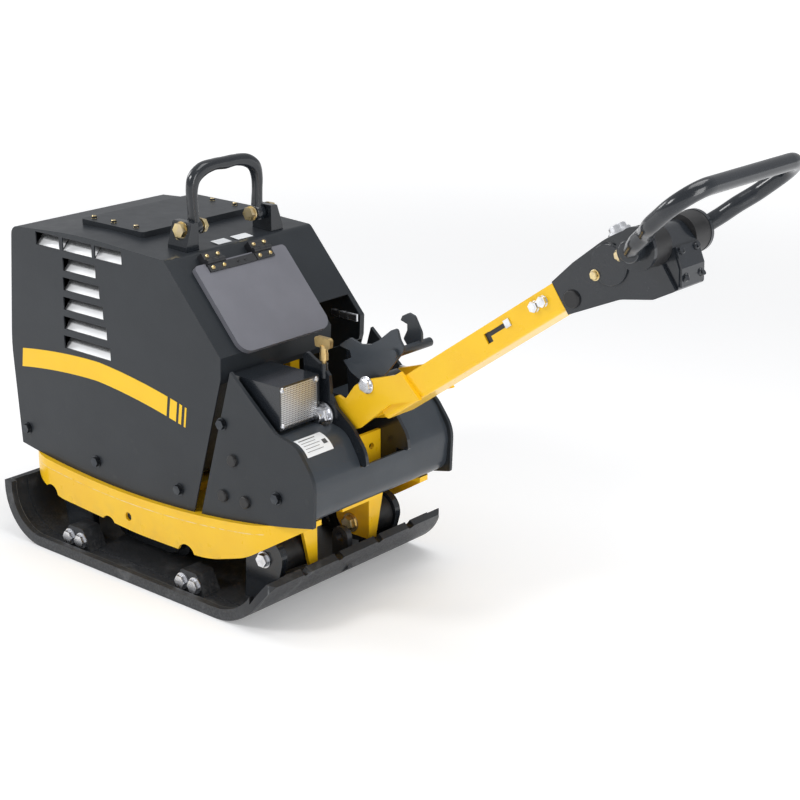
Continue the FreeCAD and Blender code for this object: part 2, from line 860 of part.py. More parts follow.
BUFFER_PLACES = [(d.buffer_rear, "rear"), (d.buffer_front, "front")]
BUFFER_START = d.post_face + d.post_wall
BUFFER_END = BUFFER_START + d.buffer_length


def buffer_brackets():
    brackets = []
    sole = plate_y("bracket_seat", sole_outline(d.plate_thickness), -d.plate_width / 2, d.plate_width)
    for x, place in BUFFER_PLACES:
        for name, sign in (("near", -1), ("far", 1)):
            radius = d.bracket_radius
            foot = d.plate_thickness - 4
            rise = 22 if place == "rear" else 0
            outline = [(x - radius * 1.15, foot), (x - radius / 2, foot), (x + radius * 0.55, foot + rise),
                       (x + radius, d.buffer_height, radius * 0.6),
                       (x + radius, d.buffer_height + radius * 0.96, radius * 0.84),
                       (x - radius, d.buffer_height + radius * 0.96, radius * 0.84)]
            if place == "front":
                outline = [(x * 2 - point[0], *point[1:]) for point in reversed(outline)]
            hole = (x, d.buffer_height, d.buffer_bolt_radius + d.hole_gap)
            blank = plate_y(f"bracket_blank_{name}_{place}", outline, side_low(sign, BUFFER_END, d.bracket_wall),
                            d.bracket_wall, [hole])
            brackets.append(cut(f"buffer_bracket_{name}_{place}", blank, [sole]))
    node("buffer_brackets", group("buffer_brackets", brackets))


def rubber_buffers():
    buffers = []
    for x, place in BUFFER_PLACES:
        for name, sign in (("near", -1), ("far", 1)):
            low, high = side_low(sign, BUFFER_START, d.buffer_length), None
            high = low + d.buffer_length
            waist = d.buffer_radius * 0.93
            outline = [(0, low), (d.buffer_radius, low), (d.buffer_radius, low + 6),
                       (waist, (low + high) / 2, d.buffer_length * 0.8),
                       (d.buffer_radius, high - 6), (d.buffer_radius, high), (0, high)]
            buffers.append(turned_y(f"rubber_buffer_{name}_{place}", outline, x, d.buffer_height))
    node("rubber_buffers", group("rubber_buffers", buffers))


def buffer_bolts():
    outer, inner = [], []
    for x, place in BUFFER_PLACES:
        for name, sign in (("near", -1), ("far", 1)):
            outer_face = (BUFFER_END + d.bracket_wall) * sign
            outer.append(bolt_y(f"base_buffer_bolt_{name}_{place}", x, outer_face, d.buffer_height, sign,
                                d.buffer_bolt_radius, d.bracket_wall))
            inner.append(bolt_y(f"frame_buffer_bolt_{name}_{place}", x, d.post_face * sign, d.buffer_height,
                                -sign, d.buffer_bolt_radius, d.post_wall))
    return outer, inner


FRAME_HALF = d.hood_half_width + d.frame_sill
LIFT_FRAME_HALF = d.hood_half_width - d.hood_wall - d.lift_frame_gap


def sheer(x, offset=0):
    """Height of the deck's gently curved line at x, moved up by offset."""
    reach = as_size(x) - d.sheer_x
    return d.deck_top + d.sheer_radius + offset - root(d.sheer_radius * d.sheer_radius - reach * reach)


def sheer_strip(name, front, rear, low, high, half_width):
    """A solid across the machine between two offsets from the deck's curved line."""
    low, high = as_size(low), as_size(high)
    body = new_body(name)
    sketch = new_sketch(body, "XZ_Plane")
    ends = []
    for label, offset in (("low", low), ("high", high)):
        radius = d.sheer_radius - offset
        centre_z = d.deck_top + d.sheer_radius
        heights = [centre_z - root(radius * radius - (as_size(x) - d.sheer_x) * (as_size(x) - d.sheer_x))
                   for x in (front, rear)]
        points = [Vector(as_size(x).value, z.value, 0) for x, z in zip((front, rear), heights)]
        centre = Vector(d.sheer_x.value, centre_z.value, 0)
        angles = [math.atan2(p.y - centre.y, p.x - centre.x) for p in points]
        arc = sketch.addGeometry(Part.ArcOfCircle(Part.Circle(centre, Vector(0, 0, 1), radius.value), *angles),
                                 False)
        constrain(sketch, "DistanceX", (-1, 1, arc, 3), d.sheer_x, label + "_cx")
        constrain(sketch, "DistanceY", (-1, 1, arc, 3), centre_z, label + "_cy")
        constrain(sketch, "Radius", (arc,), radius, label + "_r")
        constrain(sketch, "DistanceX", (-1, 1, arc, 1), front, label + "_front")
        constrain(sketch, "DistanceX", (-1, 1, arc, 2), rear, label + "_rear")
        ends.append((arc, points))
    (low_arc, low_points), (high_arc, high_points) = ends
    for position in (1, 2):
        line = sketch.addGeometry(Part.LineSegment(low_points[position - 1], high_points[position - 1]), False)
        sketch.addConstraint(Sketcher.Constraint("Coincident", line, 1, low_arc, position))
        sketch.addConstraint(Sketcher.Constraint("Coincident", line, 2, high_arc, position))
    pad = body.newObject("PartDesign::Pad", name + "Pad")
    pad.Profile = sketch
    pad.SideType = "Symmetric"
    bind(pad, "Length", as_size(half_width) * 2)
    doc.recompute()
    return body


def frame_plan(name, inset, height):
    """The frame's boat-shaped outline from above, as a tall solid."""
    half, front, rear = FRAME_HALF - inset, d.frame_front + inset, d.frame_rear - inset
    plan = [(front, -half + 26, 60), (front + 60, -half, 90), (rear - 110, -half, 160), (rear, -half + 44, 12),
            (rear, half - 44, 12), (rear - 110, half, 160), (front + 60, half, 90), (front, half - 26, 60)]
    return pad_outline(name, "XY_Plane", plan, height)


def frame_deck():
    strip = sheer_strip("deck_strip", d.frame_front - 20, d.frame_rear + 20, -d.deck_thickness, 0,
                        FRAME_HALF + 20)
    deck = common("deck_plate", strip, frame_plan("deck_plan", 0, 1200))
    slot_half = d.clutch_radius + d.belt_thickness + 8
    belt_slot = box("belt_slot", (DRIVE_X - slot_half, d.belt_y - d.belt_width / 2 - 8, 100),
                    (slot_half * 2, d.belt_width + 16, 200))
    opening = box("deck_opening", (d.exciter_x - 60, -90, 100), (120, 180, 200))
    tail_window = box("tail_window", (d.frame_rear - 60, -150, 100), (80, 300, 200))
    plate = cut("deck_cut", deck, [belt_slot, opening, tail_window])
    rails = []
    rail_low = d.deck_top - d.deck_thickness / 2
    for name, y in (("near", -110), ("far", 80)):
        rails.append(box(f"engine_rail_{name}", (d.crankcase_front - 30, y, rail_low),
                         (d.crankcase_length + 60, 34, d.rail_top - rail_low)))
    for name, sign in (("near", -1), ("far", 1)):
        low = side_low(sign, LIFT_FRAME_HALF - d.lift_post, d.lift_post)
        rails.append(box(f"lift_foot_{name}", (d.lift_x - 12, low, rail_low), (28, d.lift_post, 180 - rail_low)))
    tray_x = d.battery_front - 4
    rails.append(box("battery_tray", (tray_x, -190, 202), (d.battery_length + 10, d.battery_width + 6, 8)))
    rails.append(box("battery_tray_foot", (tray_x, -190, 183), (10, d.battery_width + 6, 20)))
    tank_x = d.hood_front + 26
    rails.append(box("tank_tray", (tank_x, -d.tank_width / 2, 192), (d.tank_depth, d.tank_width, 13)))
    rails.append(box("tank_tray_foot", (tank_x + d.tank_depth - 12, -d.tank_width / 2, 177),
                     (12, d.tank_width, 16)))
    stop_x, stop_half = as_size(450), d.pivot_bracket_face - 1
    tongue_z = sheer(d.frame_rear - 60, -d.deck_thickness)
    rails.append(box("stop_tongue", (d.frame_rear - 70, -stop_half, tongue_z),
                     (stop_x - d.frame_rear + 78, stop_half * 2, 8)))
    stop = box("stop_upright", (stop_x, -stop_half, tongue_z), (8, stop_half * 2, 352 - tongue_z))
    stop_hole = cylinder_along("stop_hole", stop_x - 5, 30, 322, as_size(7), 20, WORLD)
    rails.append(cut("stop_plate", stop, [stop_hole]))
    node("frame_deck", join("frame_deck", [plate] + rails))


def frame_skirts():
    outer, inner = frame_plan("skirt_outer", 0, 1200), frame_plan("skirt_inner", d.skirt_thickness, 1300)
    wall = cut("skirt_wall", outer, [inner])
    top = as_size(260)
    bottom = d.skirt_bottom
    profile = [(d.frame_front - 4, top), (d.frame_front - 4, 196), (-318, bottom + 46, 40),
               (-236, bottom + 14, 90), (20, bottom - 2, 900), (230, bottom, 300), (345, bottom + 36, 200),
               (d.frame_rear, 214), (d.frame_rear + 4, top)]
    side = plate_y("skirt_side", profile, -300, 600)
    raw = common("skirt_raw", wall, side)
    above = sheer_strip("skirt_trim", d.frame_front - 60, d.frame_rear + 60, -d.deck_thickness, 140, 320)
    notches = []
    for index, (x, z, radius) in enumerate(((-268, bottom + 16, 22), (-76, bottom - 8, 22), (168, bottom - 10, 26))):
        notches.append(cylinder_y(f"skirt_notch_{index}", x, -300, z, as_size(radius), 600))
    holes = [cylinder_y("tie_holes", d.tie_hole_x, -300, d.tie_hole_z, d.tie_hole_radius, 600)]
    fore_aft = box("skirt_front_gap", (d.frame_front - 10, -150, 0), (d.frame_rear - d.frame_front + 20, 300, 400))
    node("frame_skirts", cut("frame_skirts", raw, [above, fore_aft] + notches + holes))


def frame_posts():
    """Welded posts that hang from the deck and carry the inner ends of the buffers."""
    posts = []
    for x, place in BUFFER_PLACES:
        direction = 1 if place == "rear" else -1
        for name, sign in (("near", -1), ("far", 1)):
            radius = d.buffer_radius
            outer_x = x + (d.buffer_radius + 9) * direction
            top = sheer(outer_x, -d.deck_thickness) + 3
            bottom = d.buffer_height - 26
            wall_outline = [(x - radius * direction, top), (x - radius * direction, d.buffer_height, 20),
                            (x - 18 * direction, bottom, 14), (outer_x, bottom), (outer_x, top)]
            hole = (x, d.buffer_height, d.buffer_bolt_radius + d.hole_gap)
            wall = plate_y(f"post_wall_{name}_{place}", wall_outline, side_low(sign, d.post_face, d.post_wall),
                           d.post_wall, [hole])
            flange = new_flange(f"post_flange_{name}_{place}", outer_x, direction, sign, bottom, top)
            whole = join(f"post_{name}_{place}", [wall, flange])
            trim = sheer_strip(f"post_trim_{name}_{place}", x - 120, x + 120, -d.deck_thickness, 60, 260)
            posts.append(cut(f"frame_post_{name}_{place}", whole, [trim]))
    node("frame_posts", group("frame_posts", posts))


def new_flange(name, outer_x, direction, sign, bottom, top):
    """The post's tapered cross flange, wide at the deck and narrow at its foot."""
    inner, wide, narrow = d.post_face * sign, (d.post_face + 50) * sign, (d.post_face + 22) * sign
    outline = [(inner, bottom), (narrow, bottom), (wide, top), (inner, top)]
    body = pad_outline(name, "YZ_Plane", outline, d.post_wall)
    WORLD.place(body, outer_x - d.post_wall / 2 * direction, 0, 0)
    return body


# ---------------------------------------------------------------- engine

ENGINE_Y = as_size(15)
CASE_LOW = ENGINE_Y - d.crankcase_width / 2
CASE_TOP = d.rail_top + d.crankcase_height
HEAD_LOW = CASE_TOP + d.barrel_height
HEAD_TOP = HEAD_LOW + d.head_height


def engine_crankcase():
    front, rear = d.crankcase_front, d.crankcase_front + d.crankcase_length
    outline = [(front, d.rail_top, 14), (rear, d.rail_top, 14), (rear, CASE_TOP, 30), (front, CASE_TOP, 30)]
    casing = plate_y("crankcase_block", outline, CASE_LOW, d.crankcase_width)
    bore = cylinder_y("crank_bore", DRIVE_X, CASE_LOW - 1, d.crank_height, d.crank_radius + d.running_fit,
                      d.crankcase_width + 2)
    flange = turned_y("crank_flange", [(0, CASE_LOW - 8), (60, CASE_LOW - 8), (70, CASE_LOW), (0, CASE_LOW)],
                      DRIVE_X, d.crank_height)
    node("engine_crankcase", cut("engine_crankcase", join("crankcase_whole", [casing, flange]),
                                 [bore, cylinder_y("crank_flange_bore", DRIVE_X, CASE_LOW - 10, d.crank_height,
                                                   d.crank_radius + d.running_fit, 20)]))


def engine_cylinder():
    half = d.barrel_size / 2
    core = half - d.fin_depth
    parts = [box("barrel_core", (DRIVE_X - core, ENGINE_Y - core, CASE_TOP), (core * 2, core * 2, d.barrel_height)),
             box("cylinder_head", (DRIVE_X - half, ENGINE_Y - half, HEAD_LOW),
                 (d.barrel_size, d.barrel_size, d.head_height)),
             box("rocker_cover", (DRIVE_X - half + 14, ENGINE_Y - half + 14, HEAD_TOP),
                 (d.barrel_size - 28, d.barrel_size - 28, 24))]
    pitch = d.barrel_height / (SIZES["fin_count"] + 1)
    for index in range(SIZES["fin_count"]):
        parts.append(box(f"barrel_fin_{index}", (DRIVE_X - half, ENGINE_Y - half, CASE_TOP + pitch * (index + 0.8)),
                         (d.barrel_size, d.barrel_size, 4)))
    node("engine_cylinder", join("engine_cylinder", parts))


def crank_group():
    low = CASE_LOW - 8 - 4 - d.flywheel_width
    high = d.belt_y + d.belt_width / 2 + 3
    node("crankshaft", cylinder_y("crankshaft", DRIVE_X, low - 4, d.crank_height, d.crank_radius, high - low + 4))
    rim, hub = d.flywheel_radius, d.crank_radius + 22
    outline = [(d.crank_radius, low), (hub, low), (hub, low + 10), (rim - 26, low + 10), (rim - 26, low), (rim, low),
               (rim, low + d.flywheel_width), (d.crank_radius, low + d.flywheel_width)]
    node("flywheel", turned_y("flywheel", outline, DRIVE_X, d.crank_height))
    node("clutch_pulley", belt_pulley("clutch_pulley", DRIVE_X, d.crank_height, d.clutch_radius, d.crank_radius))
    node("exciter_pulley", belt_pulley("exciter_pulley", DRIVE_X, SHAFT_HEIGHT, d.pulley_radius, d.shaft_radius))


def engine_fittings():
    muffler_x, muffler_z = d.hood_front + 104, HEAD_LOW + 30
    half = d.muffler_length / 2
    radius = d.muffler_radius
    can = turned_y("muffler_can", [(0, -half), (radius, -half, 12), (radius, half, 12), (0, half)],
                   muffler_x, muffler_z, ENGINE_Y)
    pipe = cylinder_along("exhaust_pipe", muffler_x, ENGINE_Y, muffler_z, as_size(17),
                          DRIVE_X - d.barrel_size / 2 - muffler_x)
    tail = cylinder_up("tail_pipe", muffler_x, ENGINE_Y - 70, muffler_z, as_size(15), radius + 22)
    node("muffler", join("muffler", [can, pipe, tail]))
    filter_x, filter_z = DRIVE_X + d.barrel_size / 2 + 70, HEAD_LOW - 18
    inner, outer = as_size(20), 20 + d.filter_length
    shell = turned_y("filter_can", [(0, inner), (d.filter_radius - 11, inner, 8), (d.filter_radius - 11, outer, 8),
                                    (0, outer)], filter_x, filter_z)
    intake = cylinder_along("intake_pipe", DRIVE_X + d.barrel_size / 2, 50, HEAD_LOW + 12, as_size(15), 50)
    node("air_filter", join("air_filter", [shell, intake]))
    tank_low = as_size(205)
    front = d.hood_front + 28
    tank = pad_outline("tank_body", "XZ_Plane",
                       [(front, tank_low, 16), (front + d.tank_depth - 4, tank_low, 16),
                        (front + d.tank_depth - 4, tank_low + d.tank_height, 30),
                        (front, tank_low + d.tank_height, 30)], d.tank_width - 8)
    neck = cylinder_up("tank_neck", front + d.tank_depth / 2, -90, tank_low + d.tank_height - 4, as_size(24), 22)
    cap = cylinder_up("tank_cap", front + d.tank_depth / 2, -90, tank_low + d.tank_height + 18, as_size(34), 18)
    node("fuel_tank", join("fuel_tank", [tank, neck, cap]))
    battery_x = d.battery_front
    case = box("battery_case", (battery_x, -187, 210), (d.battery_length, d.battery_width, d.battery_height))
    posts = [cylinder_up(f"battery_post_{i}", battery_x + 25 + 80 * i, -187 + d.battery_width / 2,
                         210 + d.battery_height, as_size(9), 14) for i in (0, 1)]
    node("battery", join("battery", [case] + posts))
    starter_x, starter_z = d.crankcase_front - d.starter_radius - 2, d.crank_height - 10
    motor = turned_y("starter_can", [(0, -70), (d.starter_radius, -70, 8),
                                     (d.starter_radius, d.starter_length - 70, 8), (0, d.starter_length - 70)],
                     starter_x, starter_z)
    saddle = box("starter_saddle", (starter_x, -40, starter_z - 24), (d.starter_radius + 2, 90, 48))
    node("starter_motor", join("starter_motor", [motor, saddle]))


# ---------------------------------------------------------------- hood

def hood_form(name):
    """The hood's outer form as a solid, straight at the bottom."""
    heel_x = d.hood_brow_x + d.slope_length * cosine(d.slope_angle)
    heel_z = d.hood_brow_z - d.slope_length * sine(d.slope_angle)
    outline = [
        (d.hood_front, 150), (d.hood_front, 200), (d.hood_front - d.hood_belly, 430, 400),
        (d.hood_front + 12, d.hood_top_front, 22), (d.hood_crest_x, d.hood_crest, 1500),
        (d.hood_brow_x, d.hood_brow_z, 14), (heel_x, heel_z), (heel_x - 2, heel_z - 43),
        (d.hood_heel_x - 10.5, 150),
    ]
    return plate_y(name, outline, -d.hood_half_width, d.hood_half_width * 2)


def slot_places():
    """Centre X, width and top Z of each louvre slot: a row of three over a tapering column."""
    for front, rear in ((-280, -203), (-89, -5)):
        yield as_size((front + rear) / 2), as_size(rear - front), d.slot_top
    for row in range(6):
        front, rear = -192 - 2.6 * row, -98 + 8.6 * row
        yield as_size((front + rear) / 2), as_size(rear - front), d.slot_top - d.slot_pitch * row


def hood_bolt_places():
    for x in (as_size(-352), as_size(-119), as_size(141)):
        yield x, sheer(x, 42)


def hood_shell():
    form = hood_form("hood_form")
    walls = shell_out(form, lambda f: f.CenterOfMass.z < 151 or (f.CenterOfMass.z < 480 and f.CenterOfMass.x > 180
                                                                 and abs(f.normalAt(0, 0).y) < 0.5), d.hood_wall)
    half = d.hood_half_width
    tools = [sheer_strip("hood_trim", -520, 420, -200, 0, 330)]
    tools.append(box("flap_opening", (d.flap_top + 16, d.flap_near + 10, -25),
                     (d.flap_length - 30, d.flap_width - 20, 50), SLOPE))
    tools.append(box("corner_notch", (178, 107, -60), (90, 91, 90), SLOPE))
    for index, (x, width, top) in enumerate(slot_places()):
        tools.append(box(f"slot_{index}", (x - width / 2, -half - 5, top - d.slot_height),
                         (width, half * 2 + 10, d.slot_height)))
    for name, sign in (("near", -1), ("far", 1)):
        low = side_low(sign, d.lift_half_span + d.lift_leg / 2 + 1, d.bracket_foot + 2)
        tools.append(box(f"lift_cutout_{name}", (d.lift_x - d.bracket_length / 2 - 1, low, 660),
                         (d.bracket_length + 2, d.bracket_foot + 2, 80)))
    for index, (x, z) in enumerate(hood_bolt_places()):
        tools.append(cylinder_y(f"hood_bolt_hole_{index}", x, -half - 5, z, d.hood_bolt_radius + d.hole_gap,
                                half * 2 + 10))
    for index, x in enumerate(cover_screw_places()):
        for y in (d.cover_near + 21, d.cover_far - 21):
            tools.append(cylinder_up(f"cover_hole_{index}_{len(tools)}", x, y, 680, as_size(3.4), 60))
    node("hood_shell", cut("hood_shell", walls, tools))


def hood_louvres():
    """Slanted plates behind the slots, leaning inwards towards their tops."""
    plates = []
    depth, rise = 26, d.slot_height + 4
    thick = d.louvre_thickness
    for name, sign in (("near", -1), ("far", 1)):
        face = (d.hood_half_width - d.hood_wall - 0.4) * sign
        inner = face - depth * sign
        for index, (x, width, top) in enumerate(slot_places()):
            low = top - d.slot_height - 3
            outline = [(face, low), (face, low - thick * 1.5), (inner, low + rise - thick * 1.5), (inner, low + rise)]
            plate = pad_outline(f"louvre_{name}_{index}", "YZ_Plane", outline, width + 6)
            WORLD.place(plate, x, 0, 0)
            plates.append(plate)
    node("hood_louvres", group("hood_louvres", plates))


def cover_screw_places():
    for share in (0.1, 0.42, 0.78):
        yield d.cover_front + d.cover_length * share


def hood_top_cover():
    front, rear = d.cover_front, d.cover_front + d.cover_length
    outline = [(front, d.cover_near, 8), (rear, d.cover_near, 8), (rear, d.cover_far, 8), (front, d.cover_far, 8)]
    slab = pad_outline("cover_slab", "XY_Plane", outline, d.cover_height + 12, symmetric=False)
    WORLD.place(slab, 0, 0, d.hood_crest - 12)
    holes = [cylinder_up(f"cover_slab_hole_{index}_{place}", x, y, 690, as_size(3.4), 60)
             for index, x in enumerate(cover_screw_places())
             for place, y in (("near", d.cover_near + 21), ("far", d.cover_far - 21))]
    node("hood_top_cover", cut("hood_top_cover", slab, [hood_form("cover_seat")] + holes))


def frame_bolts(more):
    """The bolts and screws of the hood, console and posts."""
    items = list(more)
    for name, sign in (("near", -1), ("far", 1)):
        for index, (x, z) in enumerate(hood_bolt_places()):
            items.append(bolt_y(f"hood_bolt_{name}_{index}", x, d.hood_half_width * sign, z, sign,
                                d.hood_bolt_radius, as_size(12)))
    for index, x in enumerate(cover_screw_places()):
        for name, y in (("near", d.cover_near + 21), ("far", d.cover_far - 21)):
            top = d.hood_crest + d.cover_height
            shank = cylinder_up(f"cover_screw_shank_{name}_{index}", x, y, top - 24, as_size(3), 24)
            head = cylinder_up(f"cover_screw_head_{name}_{index}", x, y, top, as_size(6), 4)
            items.append(join(f"cover_screw_{name}_{index}", [shank, head]))
    node("frame_bolts", group("frame_bolts", items))


# ---------------------------------------------------------------- lifting bow

def lift_frame():
    """The goalpost frame inside the hood that carries the lifting brackets."""
    half, post = LIFT_FRAME_HALF, d.lift_post
    outline = [(-half, 180), (-half, d.lift_frame_top), (half, d.lift_frame_top), (half, 180), (half - post, 180),
               (half - post, d.lift_frame_top - 40), (post - half, d.lift_frame_top - 40), (post - half, 180)]
    frame = pad_outline("lift_frame", "YZ_Plane", outline, 24)
    WORLD.place(frame, d.lift_x, 0, 0)
    node("lift_frame", frame)


def lift_brackets():
    brackets = []
    face = d.lift_half_span + d.lift_leg / 2 + 2
    hole_radius = d.lift_bolt_radius + d.hole_gap
    for name, sign in (("near", -1), ("far", 1)):
        foot = [(face * sign, d.lift_frame_top), ((face + d.bracket_foot) * sign, d.lift_frame_top),
                ((face + d.bracket_foot) * sign, d.lift_frame_top + 20), ((face + 18) * sign, d.lift_pivot + 16, 6),
                (face * sign, d.lift_pivot + 16)]
        wedge = pad_outline(f"lift_wedge_{name}", "YZ_Plane", foot, d.bracket_length)
        WORLD.place(wedge, d.lift_x, 0, 0)
        low = side_low(sign, face - 5, 60)
        bore = cylinder_y(f"lift_bracket_bore_{name}", d.lift_x, low, d.lift_pivot, hole_radius, 60)
        seat = cylinder_y(f"lift_bolt_seat_{name}", d.lift_x, side_low(sign, face + 18, 60), d.lift_pivot,
                          as_size(20), 60)
        brackets.append(cut(f"lift_bracket_{name}", wedge, [bore, seat]))
    node("lift_brackets", group("lift_brackets", brackets))


def lift_bolts():
    bolts = []
    inner_face = d.lift_half_span - d.lift_leg / 2 - 3.5
    outer_face = d.lift_half_span + d.lift_leg / 2 + 2 + 18
    for name, sign in (("near", -1), ("far", 1)):
        radius = d.lift_bolt_radius
        shank_low = side_low(sign, inner_face - 12, outer_face - inner_face + 14)
        shank = cylinder_y(f"lift_shank_{name}", d.lift_x, shank_low, d.lift_pivot, radius,
                           outer_face - inner_face + 14)
        head = hexagon_y(f"lift_head_{name}", d.lift_x, side_low(sign, outer_face + 3, 10), d.lift_pivot,
                         as_size(32), 10)
        outer_washer = cylinder_y(f"lift_washer_{name}", d.lift_x, side_low(sign, outer_face, 3), d.lift_pivot,
                                  as_size(17), 3)
        nut = hexagon_y(f"lift_nut_{name}", d.lift_x, side_low(sign, inner_face - 12, 9), d.lift_pivot,
                        as_size(30), 9)
        inner_washer = cylinder_y(f"lift_nut_washer_{name}", d.lift_x, side_low(sign, inner_face - 3, 3),
                                  d.lift_pivot, as_size(16), 3)
        bolts.append(join(f"lift_bolt_{name}", [shank, head, outer_washer, nut, inner_washer]))
    node("lift_bolts", group("lift_bolts", bolts))


def lifting_bow():
    half, leg = d.lift_half_span, d.lift_leg / 2
    foot, top = d.lift_pivot - 17, d.lift_top
    outline = [(-half - leg, foot, 11), (-half - leg - 2, top, 46), (half + leg + 2, top, 46),
               (half + leg, foot, 11), (half - leg, foot, 11), (half - leg - 2, top - d.lift_crown, 34),
               (leg - half + 2, top - d.lift_crown, 34), (leg - half, foot, 11)]
    bow = pad_outline("bow_forging", "YZ_Plane", outline, d.lift_depth)
    WORLD.place(bow, d.lift_x, 0, 0)
    bore = cylinder_y("bow_bore", d.lift_x, -half - 30, d.lift_pivot, d.lift_bolt_radius + d.running_fit,
                      half * 2 + 60)
    node("lifting_bow", cut("lifting_bow", bow, [bore]))


# ---------------------------------------------------------------- flap door and instrument panel

HINGE_ALONG = d.flap_top - 0.5
HINGE_PLACES = [(as_size(-128), "near"), (as_size(4), "far")]


def hinge_knuckle(name, across, width, radius):
    return cylinder_y(name, HINGE_ALONG, across, d.hinge_axis_height, radius, width, SLOPE)


def flap_hinges():
    """Fixed leaves with their pins on the hood, and moving leaves on the door."""
    fixed, moving = [], []
    knuckle = d.hinge_pin_radius + 2.6
    third = d.hinge_width / 3
    for across, name in HINGE_PLACES:
        leaf = box(f"hinge_leaf_fixed_{name}", (HINGE_ALONG - 3 - d.hinge_leaf, across, 0),
                   (d.hinge_leaf, d.hinge_width, d.hinge_axis_height), SLOPE)
        ends = []
        for index in (0, 2):
            start = across + third * index
            ends.append(hinge_knuckle(f"hinge_knuckle_{name}_{index}", start, third - 0.3, knuckle))
            ends.append(box(f"hinge_web_{name}_{index}", (HINGE_ALONG - 8, start, d.hinge_axis_height - 5.6),
                            (8, third - 0.3, 5), SLOPE))
        pin = hinge_knuckle(f"hinge_pin_{name}", across, d.hinge_width - 0.3, d.hinge_pin_radius)
        room = hinge_knuckle(f"hinge_room_{name}", across + third - 0.3, third + 0.3, knuckle + 0.5)
        fixed.append(join(f"hinge_fixed_{name}", [cut(f"hinge_leaf_cut_{name}", leaf, [room]), pin] + ends))
        plate = box(f"hinge_leaf_moving_{name}", (HINGE_ALONG + 3, across, d.flap_height),
                    (d.hinge_leaf, d.hinge_width, d.hinge_axis_height - d.flap_height), SLOPE)
        middle = hinge_knuckle(f"hinge_middle_{name}", across + third + 0.3, third - 0.9, knuckle)
        web = box(f"hinge_moving_web_{name}", (HINGE_ALONG, across + third + 0.3, d.flap_height + 0.2),
                  (8, third - 0.9, d.hinge_axis_height - d.flap_height - 0.2), SLOPE)
        bore = hinge_knuckle(f"hinge_bore_{name}", across, d.hinge_width, d.hinge_pin_radius + d.running_fit)
        rooms = [hinge_knuckle(f"hinge_moving_room_{name}_{i}", across + third * i - 0.2, third + 0.2, knuckle + 0.5)
                 for i in (0, 2)]
        moving.append(cut(f"hinge_moving_{name}", join(f"hinge_moving_whole_{name}", [plate, middle, web]),
                          [bore] + rooms))
    node("hinge_bases", group("hinge_bases", fixed))
    node("flap_hinges", group("flap_hinges", moving))


def flap_door():
    low_s, high_s = d.flap_top, d.flap_top + d.flap_length
    near, far = d.flap_near, d.flap_near + d.flap_width
    outline = [(low_s, near, 10), (high_s, near, d.flap_corner), (high_s, far, d.flap_corner), (low_s, far, 10)]
    door = pad_outline("flap_tray", "XY_Plane", outline, d.flap_height - d.joint_gap, symmetric=False)
    shell_out(door, lambda f: f.CenterOfMass.z < 0.01, d.flap_wall)
    SLOPE.place(door, 0, 0, d.joint_gap)
    rooms = [box(f"flap_knuckle_room_{name}", (low_s - 2, across - 1, d.hinge_axis_height - 8),
                 (10, d.hinge_width + 2, 20), SLOPE) for across, name in HINGE_PLACES]
    node("flap_door", cut("flap_door", door, rooms))


def instrument_panel():
    front, near = d.flap_top + 16.5, d.flap_near + 10.5
    length, width = d.flap_length - 31, d.flap_width - 21
    outer = box("panel_outer", (front, near, -d.panel_depth - 3), (length, width, d.panel_depth + 3), SLOPE)
    inner = box("panel_inner", (front + 3, near + 3, -d.panel_depth), (length - 6, width - 6, d.panel_depth + 5), SLOPE)
    key_hole = cylinder_up("key_hole", front + length * 0.62, near + width * 0.72, -d.panel_depth - 5,
                           d.key_radius + d.running_fit, 10, SLOPE)
    gauge = cylinder_up("hour_meter", front + length * 0.3, near + width * 0.3, -d.panel_depth, as_size(26), 8, SLOPE)
    tray = cut("panel_tray", outer, [inner, key_hole])
    node("instrument_panel", join("instrument_panel", [tray, gauge]))
    barrel = cylinder_up("key_barrel", front + length * 0.62, near + width * 0.72, -d.panel_depth - 14,
                         d.key_radius, 18, SLOPE)
    blade = box("key_blade", (front + length * 0.62 - 12, near + width * 0.72 - 1.5, -d.panel_depth + 4),
                (24, 3, 18), SLOPE)
    node("key_switch", join("key_switch", [barrel, blade]))


# ---------------------------------------------------------------- console

def console_outline():
    return [(303, 505), (424, 404, 12), (478, 393, 60), (526, 330, 70), (522, 226, 46), (470, 160), (200, 160)]


def console_bolt_places():
    yield as_size(276), as_size(392)
    yield as_size(425), as_size(272)


def console_sides():
    holes = [(x, z, d.hood_bolt_radius + d.hole_gap) for x, z in console_bolt_places()]
    inner = d.console_half_width - d.console_wall
    trim = sheer_strip("console_trim", 150, 560, -100, 0, 330)
    plates = [plate_y(f"console_blank_{name}", console_outline(), side_low(sign, inner, d.console_wall),
                      d.console_wall, holes) for name, sign in (("near", -1), ("far", 1))]
    node("console_sides", group("console_sides", [cut(f"console_side_{i}", plate, [trim])
                                                  for i, plate in enumerate(plates)]))


def console_panel():
    """The bent sheet between the console's sides: a shelf, a rounded brow and the rear face."""
    half = d.console_half_width - d.console_wall
    wall = d.panel_wall
    outline = [(300, 396), (424, 396, 30), (478, 386, 50), (519, 320, 70), (511, 240, 40), (484, 228),
               (484, 228 + wall * 1.1), (511 - wall, 243, 36), (519 - wall, 320, 66), (475, 386 - wall, 46),
               (424, 396 - wall, 26), (300, 396 - wall)]
    form = plate_y("console_form", outline, -half, half * 2)
    window = box("drawbar_window", (380, -d.window_half, d.window_bottom), (200, d.window_half * 2, 160))
    shelf_gap = box("shelf_gap", (290, -d.window_half, 380), (140, d.window_half * 2, 40))
    bolt_room = cylinder_y("pivot_bolt_room", d.pivot_x, -90, d.pivot_z, as_size(26), 180)
    node("console_panel", cut("console_panel", form, [window, shelf_gap, bolt_room]))


